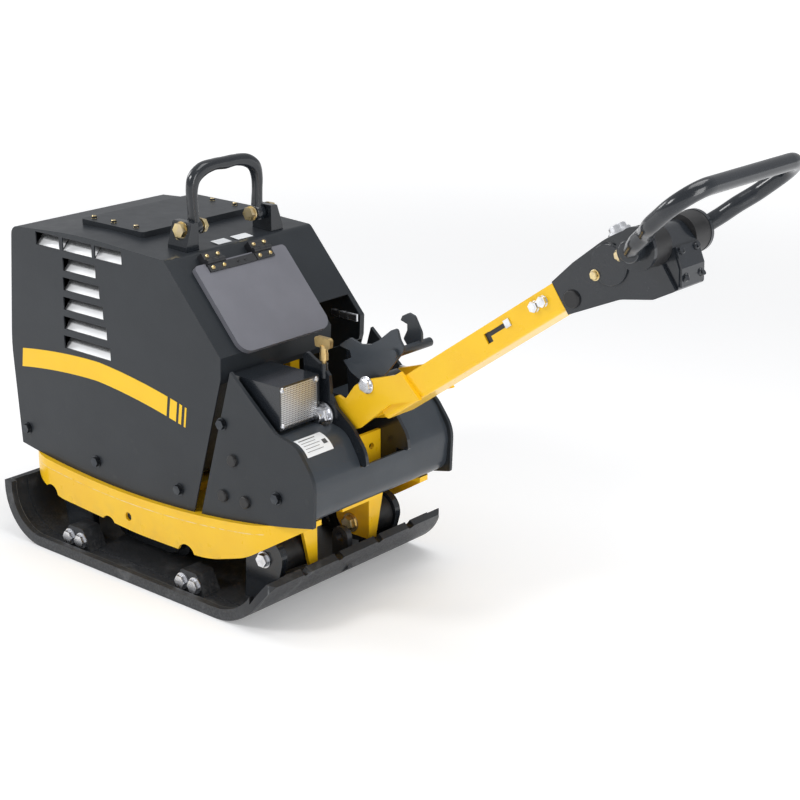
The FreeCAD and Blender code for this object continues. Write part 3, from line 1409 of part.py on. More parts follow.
def pivot_brackets():
    outline = [(392, 518), (419, 505), (434, 490), (437, 452), (453, 427, 20), (494, 396, 40), (528, 352, 60),
               (532, d.window_bottom + 3, 6), (500, d.window_bottom + 3), (500, 285), (400, 285, 30), (372, 350, 40), (363, 535, 10)]
    hole = (d.pivot_x, d.pivot_z, d.pivot_radius + d.hole_gap)
    plates = []
    for name, sign in (("near", -1), ("far", 1)):
        plates.append(plate_y(f"pivot_bracket_{name}", outline,
                              side_low(sign, d.pivot_bracket_face, d.pivot_bracket_wall), d.pivot_bracket_wall,
                              [hole]))
    tab_z = as_size(505)
    socket = cylinder_up("knob_socket", d.knob_x, -d.pivot_bracket_face - d.pivot_bracket_wall / 2, tab_z - 22,
                         as_size(8), 22 + 8)
    bore = cylinder_up("knob_socket_bore", d.knob_x, -d.pivot_bracket_face - d.pivot_bracket_wall / 2, tab_z - 26,
                       d.knob_radius - 1.5 + d.running_fit, 60)
    plates[0] = cut("pivot_bracket_tapped", join("pivot_bracket_socket", [plates[0], socket]), [bore])
    node("pivot_brackets", group("pivot_brackets", plates))


def pivot_bolt():
    face = d.pivot_bracket_face + d.pivot_bracket_wall
    washer, head_height = as_size(2.5), as_size(9)
    shank = cylinder_y("pivot_shank", d.pivot_x, -face - 8, d.pivot_z, d.pivot_radius, face * 2 + 24)
    head = hexagon_y("pivot_head", d.pivot_x, -face - washer - head_height, d.pivot_z, as_size(42), head_height)
    nut = hexagon_y("pivot_nut", d.pivot_x, face + washer, d.pivot_z, as_size(42), head_height)
    washers = [cylinder_y("pivot_washer_near", d.pivot_x, -face - washer, d.pivot_z, as_size(23), washer),
               cylinder_y("pivot_washer_far", d.pivot_x, face, d.pivot_z, as_size(23), washer)]
    node("pivot_bolt", join("pivot_bolt", [shank, head, nut] + washers))


def grille():
    wall = as_size(4)
    low = (d.grille_front, d.grille_near, d.grille_bottom)
    outer = box("grille_outer", low, (d.grille_length, d.grille_width, d.grille_height))
    inner = box("grille_inner", [n + wall for n in low],
                (d.grille_length, d.grille_width - wall * 2, d.grille_height - wall * 2))
    foot = box("grille_foot", (d.grille_front + 46, d.grille_near + 20, 396), (60, d.grille_width - 40, 10))
    node("grille_box", join("grille_box", [cut("grille_case", outer, [inner]), foot]))
    rear = d.grille_front + d.grille_length
    mesh = box("grille_mesh", (rear - 5, d.grille_near + wall + 0.4, d.grille_bottom + wall + 0.4),
               (2.5, d.grille_width - wall * 2 - 0.8, d.grille_height - wall * 2 - 0.8))
    node("grille_mesh", mesh)


def side_plugs():
    plugs = []
    for name, sign in (("near", -1), ("far", 1)):
        for index, (x, z) in enumerate(((304, 321), (274, 239), (337, 241))):
            start = d.console_half_width * sign
            tip = (d.console_half_width + d.plug_height) * sign
            outline = [(0, start), (d.plug_radius, start), (d.plug_radius - 1, tip, 3), (0, tip)]
            plugs.append(turned_y(f"side_plug_{name}_{index}", outline, as_size(x), as_size(z)))
    node("side_plugs", group("side_plugs", plugs))


def console_bolts():
    bolts = []
    for name, sign in (("near", -1), ("far", 1)):
        for index, (x, z) in enumerate(console_bolt_places()):
            bolts.append(bolt_y(f"console_bolt_{name}_{index}", x, d.console_half_width * sign, z, sign,
                                d.hood_bolt_radius, as_size(14)))
    return bolts


def stop_screw():
    """The winged brass screw that sets how low the drawbar rests."""
    y = -d.pivot_bracket_face - d.pivot_bracket_wall / 2
    base = as_size(513.5)
    stem = cylinder_up("screw_stem", d.knob_x, y, 489, d.knob_radius - 1.5, d.knob_height - 489)
    collar = cylinder_up("screw_collar", d.knob_x, y, base + 6, as_size(9), 14)
    neck = cylinder_up("screw_neck", d.knob_x, y, base + 20, as_size(8), 16)
    wing = plate_y("screw_wing", [(d.knob_x - 19, 545, 4), (d.knob_x + 19, 545, 4), (d.knob_x + 22, 566, 7),
                                  (d.knob_x - 22, 566, 7)], y - 5, 10)
    node("stop_screw", join("stop_screw", [stem, collar, neck, wing]))


# ---------------------------------------------------------------- drawbar

def drawbar_yoke():
    """Two cheeks on the pivot bolt, with bushes and a cross web."""
    inner = d.beam_half_width
    outline = [(-27, 26, 24), (42, 20, 10), (54, 4, 6), (98, 18, 20), (134, 15, 20), (207, -8), (223, -8),
               (237, -74), (160, -51, 60), (57, -59), (35, -54, 12), (-27, -29, 24)]
    parts = []
    for name, sign in (("near", -1), ("far", 1)):
        parts.append(plate_y(f"yoke_cheek_{name}", outline, side_low(sign, inner, d.cheek_wall), d.cheek_wall,
                             seat=DRAWBAR))
        parts.append(cylinder_y(f"yoke_bush_{name}", 0, side_low(sign, inner + d.cheek_wall - 1, 6.5), 0,
                                d.pivot_radius + 11, 6.5, DRAWBAR))
    parts.append(box("yoke_web", (66, -inner - 1, -52), (10, inner * 2 + 2, 50), DRAWBAR))
    bores = [cylinder_y("yoke_bore", 0, -90, 0, d.pivot_radius + d.running_fit, 180, DRAWBAR),
             cylinder_y("yoke_latch_bore", d.latch_along, -90, d.latch_up, as_size(5.4), 180, DRAWBAR)]
    node("drawbar_yoke", cut("drawbar_yoke", join("drawbar_yoke_whole", parts), bores))


def drawbar_beam():
    """A channel, open at its top, with a notched slot in the near wall."""
    half, wall = d.beam_half_width, d.beam_wall
    low, high = d.beam_top - d.beam_height, d.beam_top
    outline = [(-half, high), (-half, low, d.beam_fold), (half, low, d.beam_fold), (half, high),
               (half - wall, high), (half - wall, low + wall, d.beam_fold - wall),
               (wall - half, low + wall, d.beam_fold - wall), (wall - half, high)]
    length = d.beam_end - d.beam_start
    channel = pad_outline("beam_channel", "YZ_Plane", outline, length)
    DRAWBAR.place(channel, d.beam_start + length / 2, 0, 0)
    slot_wall = (-half - 2, wall + 4)
    slots = [box("beam_slot_tall", (446, slot_wall[0], high - 33), (15, slot_wall[1], 20), DRAWBAR),
             box("beam_slot_long", (446, slot_wall[0], high - 23), (71, slot_wall[1], 9), DRAWBAR)]
    slots += [cylinder_y(f"beam_hole_{index}", u, -half - 5, high - 19, as_size(6.4), half * 2 + 10, DRAWBAR)
              for index, u in enumerate((583, 605))]
    node("drawbar_beam", cut("drawbar_beam", channel, slots))


def drawbar_bolts():
    """The clamping bolts of the head, the beam's clip and the latch pin."""
    half, high = d.beam_half_width, d.beam_top
    items = []
    for index, u in enumerate((as_size(583), as_size(605))):
        shank = cylinder_y(f"clamp_shank_{index}", u, -half - 9, high - 19, as_size(6), half * 2 + 18, DRAWBAR)
        ends = [hexagon_y(f"clamp_head_{name}_{index}", u, side_low(sign, half + 1.5, 7), high - 19, as_size(21), 7,
                          DRAWBAR) for name, sign in (("near", -1), ("far", 1))]
        rings = [cylinder_y(f"clamp_ring_{name}_{index}", u, side_low(sign, half, 1.5), high - 19, as_size(10.6),
                            1.5, DRAWBAR) for name, sign in (("near", -1), ("far", 1))]
        items.append(join(f"clamp_bolt_{index}", [shank] + ends + rings))
    items.append(box("beam_clip", (503, -half - 3, high - 26), (14, 3, 15), DRAWBAR))
    face = half + d.cheek_wall
    pin = cylinder_y("latch_pin_shank", d.latch_along, -face - 6, d.latch_up, as_size(5), face * 2 + 12, DRAWBAR)
    ends = [hexagon_y(f"latch_pin_head_{name}", d.latch_along, side_low(sign, face, 7), d.latch_up, as_size(28), 7,
                      DRAWBAR) for name, sign in (("near", -1), ("far", 1))]
    items.append(join("latch_pin", [pin] + ends))
    node("drawbar_bolts", group("drawbar_bolts", items))


def handle_head():
    """The cast head on the beam's end, with a tongue inside the beam and the fixed pin of the bow."""
    half, tongue = d.head_half_width, d.beam_half_width - d.beam_wall
    start = d.beam_end
    outline = [(start, -15), (700, -6, 60), (786, -1, 200), (840, -8, 60), (885, -30, 22), (893, -70), (884, -110),
               (864, -140, 8), (815, -133, 24), (755, -104, 60), (650, -82), (start, -80)]
    block = plate_y("head_block", outline, -half, half * 2, seat=DRAWBAR)
    parts = [block, box("head_tongue", (start - 74, -tongue, d.beam_top - d.beam_height + d.beam_wall + 6),
                        (76, tongue * 2, d.beam_height - 16), DRAWBAR)]
    for name, sign in (("near", -1), ("far", 1)):
        low = side_low(sign, half, 6)
        disc = turned_y(f"head_disc_{name}", [(0, half * sign), (d.cheek_disc_radius, half * sign),
                                              (d.cheek_disc_radius - 1, (half + 6) * sign, 3), (0, (half + 6) * sign)],
                        d.cheek_disc_along, d.cheek_disc_up, 0, DRAWBAR)
        parts.append(disc)
        parts.append(hexagon_y(f"head_nut_{name}", d.cheek_disc_along + 30, low + 5 * sign, d.cheek_disc_up + 4,
                               as_size(18), 6, DRAWBAR))
        parts.append(hexagon_y(f"head_nut_front_{name}", d.cheek_disc_along - 34, low + 2 * sign,
                               d.cheek_disc_up - 3, as_size(16), 6, DRAWBAR))
    whole = join("head_whole", parts)
    rooms = []
    for name, sign in (("near", -1), ("far", 1)):
        rooms.append(cylinder_y(f"head_room_{name}", d.barrel_along, side_low(sign, d.sleeve_start - 0.4, 30),
                                d.barrel_up, d.bow_barrel_radius + 1, 30, DRAWBAR))
        rooms.append(box(f"head_rear_room_{name}", (d.barrel_along, side_low(sign, d.sleeve_start - 0.4, 30),
                                                    d.barrel_up - 130), (60, 30, 170), DRAWBAR))
        rooms.append(cylinder_y(f"head_cap_seat_{name}", 664, side_low(sign, half - 6, 30), -60, as_size(15),
                                30, DRAWBAR))
    rooms += [cylinder_y(f"head_bolt_room_{index}", u, -half - 5, d.beam_top - 19, as_size(6.4), half * 2 + 10,
                         DRAWBAR) for index, u in enumerate((583, 605))]
    pin = cylinder_y("head_pin", d.barrel_along, 4 - d.bow_barrel_half, d.barrel_up, d.bow_pin_radius,
                     d.bow_barrel_half * 2 - 8, DRAWBAR)
    node("handle_head", join("handle_head", [cut("head_cut", whole, rooms), pin]))


def head_caps():
    caps = []
    half = d.head_half_width
    for name, sign in (("near", -1), ("far", 1)):
        outline = [(0, (half - 6) * sign), (15, (half - 6) * sign), (15, half * sign), (17, half * sign),
                   (16, (half + 6) * sign, 3), (0, (half + 6) * sign)]
        caps.append(turned_y(f"head_cap_{name}", outline, 664, -60, 0, DRAWBAR))
    node("head_caps", group("head_caps", caps))


def head_cover():
    """The bent plate over the head's rear face, with four screws."""
    half = d.sleeve_start - 3
    outline = [(892.1, -74), (884, -110), (866.7, -136), (870.9, -138.8), (888.7, -112), (897, -75.1)]
    parts = [plate_y("head_cover_plate", outline, -half, half * 2, seat=DRAWBAR)]
    for index, (u, w, y) in enumerate(((891, -82, -26), (891, -82, 26), (875, -128, -26), (875, -128, 26))):
        parts.append(cylinder_along(f"head_cover_screw_{index}", u, y, w, as_size(5), 9, DRAWBAR))
    whole = join("head_cover_whole", parts)
    inside = plate_y("head_cover_trim", [(840, -60), (889, -60), (893, -70), (884, -110), (864, -140), (840, -145)],
                     -60, 120, seat=DRAWBAR)
    node("head_cover", cut("head_cover", whole, [inside]))


# ---------------------------------------------------------------- control bow

BARREL_X, _, BARREL_Z = DRAWBAR.point(d.barrel_along, 0, d.barrel_up)
BOW = Seat(BARREL_X, 0, BARREL_Z, -d.bow_angle)


def control_bow():
    """The loop of round bar with its hubs, and the sleeves it turns on."""
    half, reach = d.bow_half_width, d.bow_reach
    root = d.bow_barrel_half + d.bow_ring + 12
    side = [(0, root), (d.bow_root_reach, root + 26), (d.bow_root_reach + 32, root + 36),
            (d.bow_root_reach + 62, half - 22), (reach, half)]
    radii = [d.bow_root_corner, d.bow_root_corner, d.bow_root_corner + 6, d.bow_corner]
    points = [Vector(as_size(r).value, -as_size(y).value, 0) for r, y in side]
    points += [Vector(p.x, -p.y, 0) for p in reversed(points)]
    bends = [radius.value for radius in radii]
    loop = tube_along("bow_loop", rounded_wire(points, bends + bends[::-1]), d.bow_tube_radius)
    BOW.place(loop, 0, 0, 0)
    parts = [loop]
    sleeves = []
    for name, sign in (("near", -1), ("far", 1)):
        start, end = d.sleeve_start * sign, d.bow_barrel_half * sign
        ring_end = (d.bow_barrel_half + d.bow_ring) * sign
        hub_end = (d.bow_barrel_half + d.bow_ring + 24) * sign
        radius, bore = d.bow_barrel_radius, d.bow_pin_radius + d.running_fit
        sleeves.append(turned_y(f"sleeve_{name}", [(bore, start), (radius, start), (radius, end), (bore, end)],
                                BARREL_X, BARREL_Z))
        parts.append(turned_y(f"bow_hub_{name}", [(0, end), (radius + 1, end), (radius + 1, ring_end),
                                                  (20, ring_end), (20, hub_end, 5), (0, hub_end)],
                              BARREL_X, BARREL_Z))
    node("bow_sleeves", group("bow_sleeves", sleeves))
    node("control_bow", join("control_bow", parts))


# ---------------------------------------------------------------- latch

def latch():
    """The catch of the drawbar: a shaped plate, a hub on the pin, a cross rod and a far hook."""
    seat = Seat(*DRAWBAR.point(d.latch_along, 0, d.latch_up), -d.drawbar_angle)
    gap, wall = d.beam_half_width - d.latch_wall - d.latch_side_gap, d.latch_wall
    near = [(-36, 99, 3), (-12, 99), (3, 97), (20, 76), (44, 65, 20), (68, 63), (109, 66), (125, 63, 6),
            (118, 41, 20), (118, 19, 10), (-6, -13, 12), (-38, 41, 12), (-42, 69), (-18, 64, 4), (-14, 78)]
    far = [(77, 86), (86, 91), (104, 89, 6), (114, 77, 8), (111, 42, 20), (99, 24, 10), (79, 19, 10), (63, 37, 8),
           (62, 52, 4), (81, 62, 6), (88, 72)]
    rod_u, rod_w = as_size(92), as_size(24)
    parts = [
        plate_y("latch_plate", near, -gap - wall, wall, seat=seat),
        plate_y("latch_hook", far, gap, wall, seat=seat),
        cylinder_y("latch_rod", rod_u, -45, rod_w, d.latch_rod_radius, 110, seat),
        cylinder_y("latch_hub", 0, -gap - wall, 0, as_size(11), (gap + wall) * 2, seat),
    ]
    bore = cylinder_y("latch_bore", 0, -60, 0, 5 + d.running_fit, 120, seat)
    node("latch", cut("latch", join("latch_whole", parts), [bore]))


# ---------------------------------------------------------------- everything

outer_bolts, inner_bolts = buffer_bolts()
base_plate()
extension_plate("near", -1)
extension_plate("far", 1)
base_bolts(outer_bolts)
exciter_housing()
exciter_covers()
exciter_bearings()
exciter_shafts()
v_belt()
buffer_brackets()
rubber_buffers()
frame_deck()
frame_skirts()
frame_posts()
engine_crankcase()
engine_cylinder()
crank_group()
engine_fittings()
hood_shell()
hood_louvres()
hood_top_cover()
frame_bolts(inner_bolts + console_bolts())
lift_frame()
lift_brackets()
lift_bolts()
lifting_bow()
flap_hinges()
flap_door()
instrument_panel()
console_sides()
console_panel()
pivot_brackets()
pivot_bolt()
grille()
side_plugs()
stop_screw()
drawbar_yoke()
drawbar_beam()
drawbar_bolts()
handle_head()
head_caps()
head_cover()
control_bow()
latch()

doc.recompute()
faults = [f"{item.Name}: {item.State}" for item in doc.Objects
          if "Invalid" in item.State or "Error" in item.State]
for name, item in nodes.items():
    if item.Shape.isNull() or not item.Shape.isValid():
        faults.append(f"{name}: the shape is empty or not valid")
if faults:
    raise RuntimeError("; ".join(faults))
os.makedirs("parts", exist_ok=True)
for name, item in nodes.items():
    item.Shape.exportStep(f"parts/{name}.step")
print(f"{len(nodes)} nodes written")
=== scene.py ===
import math

import bmesh
import bpy
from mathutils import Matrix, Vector


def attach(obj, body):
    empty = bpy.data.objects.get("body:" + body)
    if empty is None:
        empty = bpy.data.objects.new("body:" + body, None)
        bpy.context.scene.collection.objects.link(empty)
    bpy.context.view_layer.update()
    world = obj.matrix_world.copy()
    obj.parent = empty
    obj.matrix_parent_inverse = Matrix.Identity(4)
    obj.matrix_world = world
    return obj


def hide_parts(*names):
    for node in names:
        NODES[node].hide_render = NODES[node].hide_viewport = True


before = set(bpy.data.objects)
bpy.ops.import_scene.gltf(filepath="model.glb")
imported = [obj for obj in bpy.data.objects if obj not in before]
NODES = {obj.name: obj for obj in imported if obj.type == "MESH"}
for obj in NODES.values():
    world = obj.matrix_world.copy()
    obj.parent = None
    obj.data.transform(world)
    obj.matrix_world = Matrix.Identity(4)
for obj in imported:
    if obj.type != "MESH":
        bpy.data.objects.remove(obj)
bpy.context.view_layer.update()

# heights and curves that the looks follow, in metres
SLOT_TOP, SLOT_PITCH = 0.697, 0.043                             # the hood's side slots
DECK_TOP, SHEER_X, SHEER_RADIUS = 0.171, -0.0126, 2.332         # the deck's curve
HIGHLIGHT_BELOW_DECK, HIGHLIGHT_OUTSIDE = 0.019, 0.216                    # the skirts' painted highlight line
PLATE_RIM_HIGHLIGHT = 0.2612                                              # the sole's rim, with a painted highlight along it
MESH_PITCH = 0.0042                                             # the grille's holes

# colours used more than once
YELLOW, DEEP_YELLOW, STRAW = (0.92, 0.56, 0.012), (0.88, 0.51, 0.011), (0.30, 0.22, 0.10)
PALE_DUST = (0.30, 0.29, 0.27)
PAINT_SHINE = 0.3

UP = Vector((0, 0, 1))
REARWARD = Vector((1, 0, 0))
ACROSS = Vector((0, 1, 0))


# ---------------------------------------------------------------- shader maths

class Sock:
    """A shader value: a socket or a plain number, with the usual operators."""

    def __init__(self, net, value):
        self.net = net
        self.value = value

    def _math(self, kind, *others):
        node = self.net.node("ShaderNodeMath", operation=kind)
        for index, item in enumerate((self,) + others):
            self.net.feed(node.inputs[index], item)
        return Sock(self.net, node.outputs[0])

    def __add__(self, other): return self._math("ADD", other)
    def __sub__(self, other): return self._math("SUBTRACT", other)
    def __rsub__(self, other): return Sock(self.net, other)._math("SUBTRACT", self)
    def __mul__(self, other): return self._math("MULTIPLY", other)
    def __truediv__(self, other): return self._math("DIVIDE", other)
    def __abs__(self): return self._math("ABSOLUTE")
    def above(self, other): return self._math("GREATER_THAN", other)
    def below(self, other): return self._math("LESS_THAN", other)
    def wrapped(self): return self._math("FRACT")
    def root(self): return self._math("SQRT")

    def clamp(self):
        node = self.net.node("ShaderNodeClamp")
        self.net.feed(node.inputs[0], self)
        return Sock(self.net, node.outputs[0])

    def ramp(self, low, high):
        """0 below low, 1 above high, and smooth between."""
        node = self.net.node("ShaderNodeMapRange", interpolation_type="SMOOTHSTEP")
        self.net.feed(node.inputs[0], self)
        node.inputs[1].default_value = low
        node.inputs[2].default_value = high
        return Sock(self.net, node.outputs[0])


class Net:
    """A material's node tree, with its shader."""

    def __init__(self, name):
        self.material = bpy.data.materials.new(name)
        self.material.use_nodes = True
        self.tree = self.material.node_tree
        self.tree.nodes.clear()
        self.shader = self.node("ShaderNodeBsdfPrincipled")
        output = self.node("ShaderNodeOutputMaterial")
        self.tree.links.new(self.shader.outputs[0], output.inputs[0])
        self.place = self.node("ShaderNodeTexCoord").outputs["Object"]

    def node(self, kind, **settings):
        node = self.tree.nodes.new(kind)
        for key, value in settings.items():
            setattr(node, key, value)
        return node

    def feed(self, socket, item):
        """Links a socket, or sets it to a number or a colour."""
        value = item.value if isinstance(item, Sock) else item
        if isinstance(value, bpy.types.NodeSocket):
            self.tree.links.new(value, socket)
        elif isinstance(value, tuple):
            socket.default_value = (*value, 1.0)
        else:
            socket.default_value = value

    def set(self, **inputs):
        for key, item in inputs.items():
            self.feed(self.shader.inputs[key.replace("_", " ")], item)

    def axes(self):
        node = self.node("ShaderNodeSeparateXYZ")
        self.feed(node.inputs[0], self.place)
        return [Sock(self, output) for output in node.outputs]

    def point(self, x, y, z):
        node = self.node("ShaderNodeCombineXYZ")
        for socket, item in zip(node.inputs, (x, y, z)):
            self.feed(socket, item)
        return node.outputs[0]

    def noise(self, scale, detail, rough=0.55, place=None):
        node = self.node("ShaderNodeTexNoise")
        self.feed(node.inputs["Vector"], place or self.place)
        node.inputs["Scale"].default_value = scale
        node.inputs["Detail"].default_value = detail
        node.inputs["Roughness"].default_value = rough
        return Sock(self, node.outputs["Fac"])

    def cells(self, scale):
        node = self.node("ShaderNodeTexVoronoi")
        self.feed(node.inputs["Vector"], self.place)
        node.inputs["Scale"].default_value = scale
        return Sock(self, node.outputs["Distance"])

    def mix(self, share, first, second):
        node = self.node("ShaderNodeMix", data_type="RGBA")
        self.feed(node.inputs[0], share)
        self.feed(node.inputs[6], first)
        self.feed(node.inputs[7], second)
        return Sock(self, node.outputs[2])

    def bump(self, height, distance):
        node = self.node("ShaderNodeBump")
        self.feed(node.inputs["Height"], height)
        node.inputs["Distance"].default_value = distance
        node.inputs["Strength"].default_value = 1.0
        self.set(Normal=Sock(self, node.outputs[0]))


# ---------------------------------------------------------------- finishes

def paint(name, colour, deep, rough, coat, dusty=0.0, dust=PALE_DUST):
    """Sprayed paint: faint mottling, orange peel, small scuffs and a little dust low down."""
    net = Net(name)
    mottle = net.noise(9, 4).ramp(0.3, 0.75)
    speck = net.noise(620, 2).ramp(0.66, 0.74)
    base = net.mix(mottle, colour, deep)
    base = net.mix(speck * 0.12, base, dust)
    if dusty:
        low = 1 - net.axes()[2].ramp(0.05, 0.30)
        patch = net.noise(26, 5).ramp(0.45, 0.75)
        base = net.mix(low * patch * dusty, base, dust)
    net.set(Base_Color=base, Roughness=net.noise(38, 4) * 0.16 + (rough - 0.08),
            Coat_Weight=coat, Coat_Roughness=0.12, Specular_IOR_Level=PAINT_SHINE)
    net.bump(net.noise(260, 2) + net.noise(1400, 1) * 0.25, 0.00012)
    return net.material


def metal(name, colour, dull, rough, stain=0.35):
    """Bare or plated metal: fine level grain, blotchy plating and small dull marks."""
    net = Net(name)
    x, y, z = net.axes()
    lines = net.noise(1.0, 3, place=net.point(x * 30, y * 30, z * 900))
    blotch = net.noise(70, 4).ramp(0.42, 0.72)
    net.set(Base_Color=net.mix(blotch * stain, colour, dull), Metallic=1.0 - blotch * 0.12,
            Roughness=lines * 0.18 + blotch * 0.12 + (rough - 0.1))
    net.bump(lines + net.noise(420, 2) * 0.4, 0.00006)
    return net.material


def casting(name, colour, wear_and_highlight, rim=None):
    """Rough cast iron under thin black paint, rubbed bright in patches, with a painted highlight
    along a rim.
    """
    net = Net(name)
    patch = net.noise(14, 6, 0.65).ramp(0.55, 0.72)
    fine = net.noise(210, 3).ramp(0.35, 0.75)
    _, y, z = net.axes()
    low = 1 - z.ramp(0.0, 0.07)
    rub_and_highlight = patch * 0.45 + low * fine * 0.35
    # a thin bright line along the rim's edge is a painted highlight, added to the real rubbed
    # patches
    if rim:
        line = abs(abs(y) - rim).below(0.0011)
        rub_and_highlight = rub_and_highlight + line * net.noise(50, 3).ramp(0.30, 0.55) * 0.9
    rub_and_highlight = rub_and_highlight.clamp()
    ground = net.mix(fine * 0.4, colour, (0.035, 0.037, 0.04))
    net.set(Base_Color=net.mix(rub_and_highlight, ground, wear_and_highlight), Metallic=rub_and_highlight * 0.5 + 0.15,
            Roughness=fine * 0.18 + 0.4)
    net.bump(net.noise(150, 5, 0.7) + net.cells(260) * 0.35, 0.0004)
    return net.material


def rubber():
    """Black rubber with chalky patches."""
    net = Net("rubber")
    chalk = net.noise(34, 5).ramp(0.5, 0.8)
    net.set(Base_Color=net.mix(chalk * 0.5, (0.012, 0.012, 0.013), (0.05, 0.05, 0.05)),
            Roughness=chalk * 0.2 + 0.47)
    net.bump(net.noise(330, 3), 0.00018)
    return net.material


def plastic():
    """Grained black plastic, paler where it is worn."""
    net = Net("plastic")
    wear = net.noise(45, 4).ramp(0.5, 0.8)
    net.set(Base_Color=net.mix(wear * 0.4, (0.02, 0.021, 0.024), (0.06, 0.062, 0.066)),
            Roughness=wear * 0.15 + 0.36)
    net.bump(net.cells(900) + net.noise(500, 2) * 0.4, 0.00012)
    return net.material


def hood_paint():
    """The hood's dark satin paint, dusty along its foot."""
    net = Net("hood_paint")
    z = net.axes()[2]
    mottle = net.noise(7, 4).ramp(0.3, 0.75)
    base = net.mix(mottle, (0.018, 0.0215, 0.026), (0.022, 0.026, 0.031))
    dust = net.noise(40, 5).ramp(0.62, 0.82) * (1 - z.ramp(0.18, 0.40))
    base = net.mix(dust * 0.2, base, (0.10, 0.10, 0.098))
    base = net.mix(net.noise(700, 2).ramp(0.68, 0.75) * 0.05, base, (0.3, 0.3, 0.3))
    net.set(Base_Color=base, Roughness=net.noise(30, 4) * 0.14 + 0.30, Coat_Weight=0.12,
            Coat_Roughness=0.22, Specular_IOR_Level=0.25)
    net.bump(net.noise(240, 2) + net.noise(1300, 1) * 0.25, 0.00012)
    return net.material


def pierced_sheet():
    """The grille's bright sheet: a close staggered pattern of small holes, seen along X."""
    net = Net("mesh")
    _, y, z = net.axes()
    across, up = y / MESH_PITCH, z / MESH_PITCH
    shifted = across + up * 0.5 + (up * 0.5).wrapped().above(0.5) * 0.5
    u, v = abs(shifted.wrapped() - 0.5), abs(up.wrapped() - 0.5)
    wire = (u * u + v * v).root().ramp(0.26, 0.36)
    net.set(Base_Color=net.mix(wire, (0.02, 0.02, 0.022), (0.72, 0.73, 0.75)),
            Metallic=wire * 0.85, Roughness=net.noise(300, 3) * 0.2 + 0.25)
    net.bump(wire, 0.0006)
    return net.material


def louvre_steel():
    """Bare pressed vanes: pitted and darker grey with painted shade high up in each slot, bright
    and smooth at the lip.
    """
    net = Net("louvre")
    z = net.axes()[2]
    share = ((SLOT_TOP - z) / SLOT_PITCH).wrapped()
    # the darker grey upper part of each slot is painted shade; the lip keeps the bright steel
    lip = share.ramp(0.36, 0.44)
    pits = net.noise(950, 3, 0.7).ramp(0.42, 0.60) * (1 - lip)
    dark = net.mix(pits, (0.46, 0.47, 0.48), (0.05, 0.052, 0.055))
    net.set(Base_Color=net.mix(lip, dark, (0.78, 0.79, 0.80)), Metallic=0.75 - pits * 0.4,
            Roughness=net.noise(60, 3) * 0.2 + 0.30)
    net.bump(net.noise(950, 3, 0.7) * (1 - lip), 0.0004)
    return net.material


def skirt_paint():
    """The frame's yellow, with a pale painted highlight line along the skirt under the curved
    deck.
    """
    net = Net("skirt_paint")
    x, y, z = net.axes()
    reach = x - SHEER_X
    fall = (SHEER_RADIUS * SHEER_RADIUS - reach * reach).root()
    deck = DECK_TOP + SHEER_RADIUS - fall
    # a pale line along a crease under the deck: a painted highlight
    line = abs(deck - z - HIGHLIGHT_BELOW_DECK).below(0.0009) * abs(y).above(HIGHLIGHT_OUTSIDE)
    mottle = net.noise(9, 4).ramp(0.3, 0.75)
    base = net.mix(mottle, YELLOW, DEEP_YELLOW)
    low = (1 - z.ramp(0.08, 0.16)) * net.noise(26, 5).ramp(0.45, 0.75)
    base = net.mix(low * 0.25, base, STRAW)
    wear_and_highlight = line * net.noise(60, 3).ramp(0.35, 0.6) * 0.75
    base = net.mix(wear_and_highlight, base, (0.95, 0.80, 0.45))
    net.set(Base_Color=base, Roughness=net.noise(38, 4) * 0.16 + 0.22, Coat_Weight=0.25,
            Specular_IOR_Level=PAINT_SHINE)
    net.bump(net.noise(260, 2) + line * 3, 0.00015)
    return net.material


MATS = {
    "anthracite": paint("anthracite", (0.034, 0.041, 0.050), (0.041, 0.049, 0.059), 0.32, 0.2,
                        dusty=0.2),
    "hood": hood_paint(),
    "black_steel": paint("black_steel", (0.011, 0.014, 0.018), (0.016, 0.019, 0.024), 0.24, 0.5),
    "flap": paint("flap", (0.150, 0.152, 0.174), (0.170, 0.172, 0.196), 0.36, 0.15),
    "yellow": paint("yellow", YELLOW, DEEP_YELLOW, 0.30, 0.25, dusty=0.2, dust=STRAW),
    "cast_plate": casting("cast_plate", (0.020, 0.022, 0.026), (0.17, 0.175, 0.18), PLATE_RIM_HIGHLIGHT),
    "grey_cast": casting("grey_cast", (0.10, 0.105, 0.11), (0.26, 0.265, 0.27)),
    "zinc": metal("zinc", (0.80, 0.81, 0.84), (0.42, 0.43, 0.45), 0.28),
    "gold": metal("gold", (0.72, 0.58, 0.30), (0.62, 0.52, 0.42), 0.3, stain=0.6),
    "dark_bolt": metal("dark_bolt", (0.055, 0.06, 0.068), (0.13, 0.135, 0.14), 0.36),
    "steel": metal("steel", (0.50, 0.51, 0.53), (0.25, 0.25, 0.26), 0.3),
    "brass": metal("brass", (0.62, 0.45, 0.20), (0.33, 0.24, 0.12), 0.36, stain=0.5),
    "rubber": rubber(),
    "plastic": plastic(),
    "louvre": louvre_steel(),
    "skirt": skirt_paint(),
    "mesh": pierced_sheet(),
    "label": paint("label", (0.75, 0.77, 0.79), (0.68, 0.70, 0.72), 0.4, 0.1),
    "stripe": paint("stripe", (0.90, 0.56, 0.012), (0.87, 0.52, 0.011), 0.35, 0.1),
    "ink": paint("ink", (0.06, 0.065, 0.07), (0.09, 0.095, 0.10), 0.45, 0.0),
}

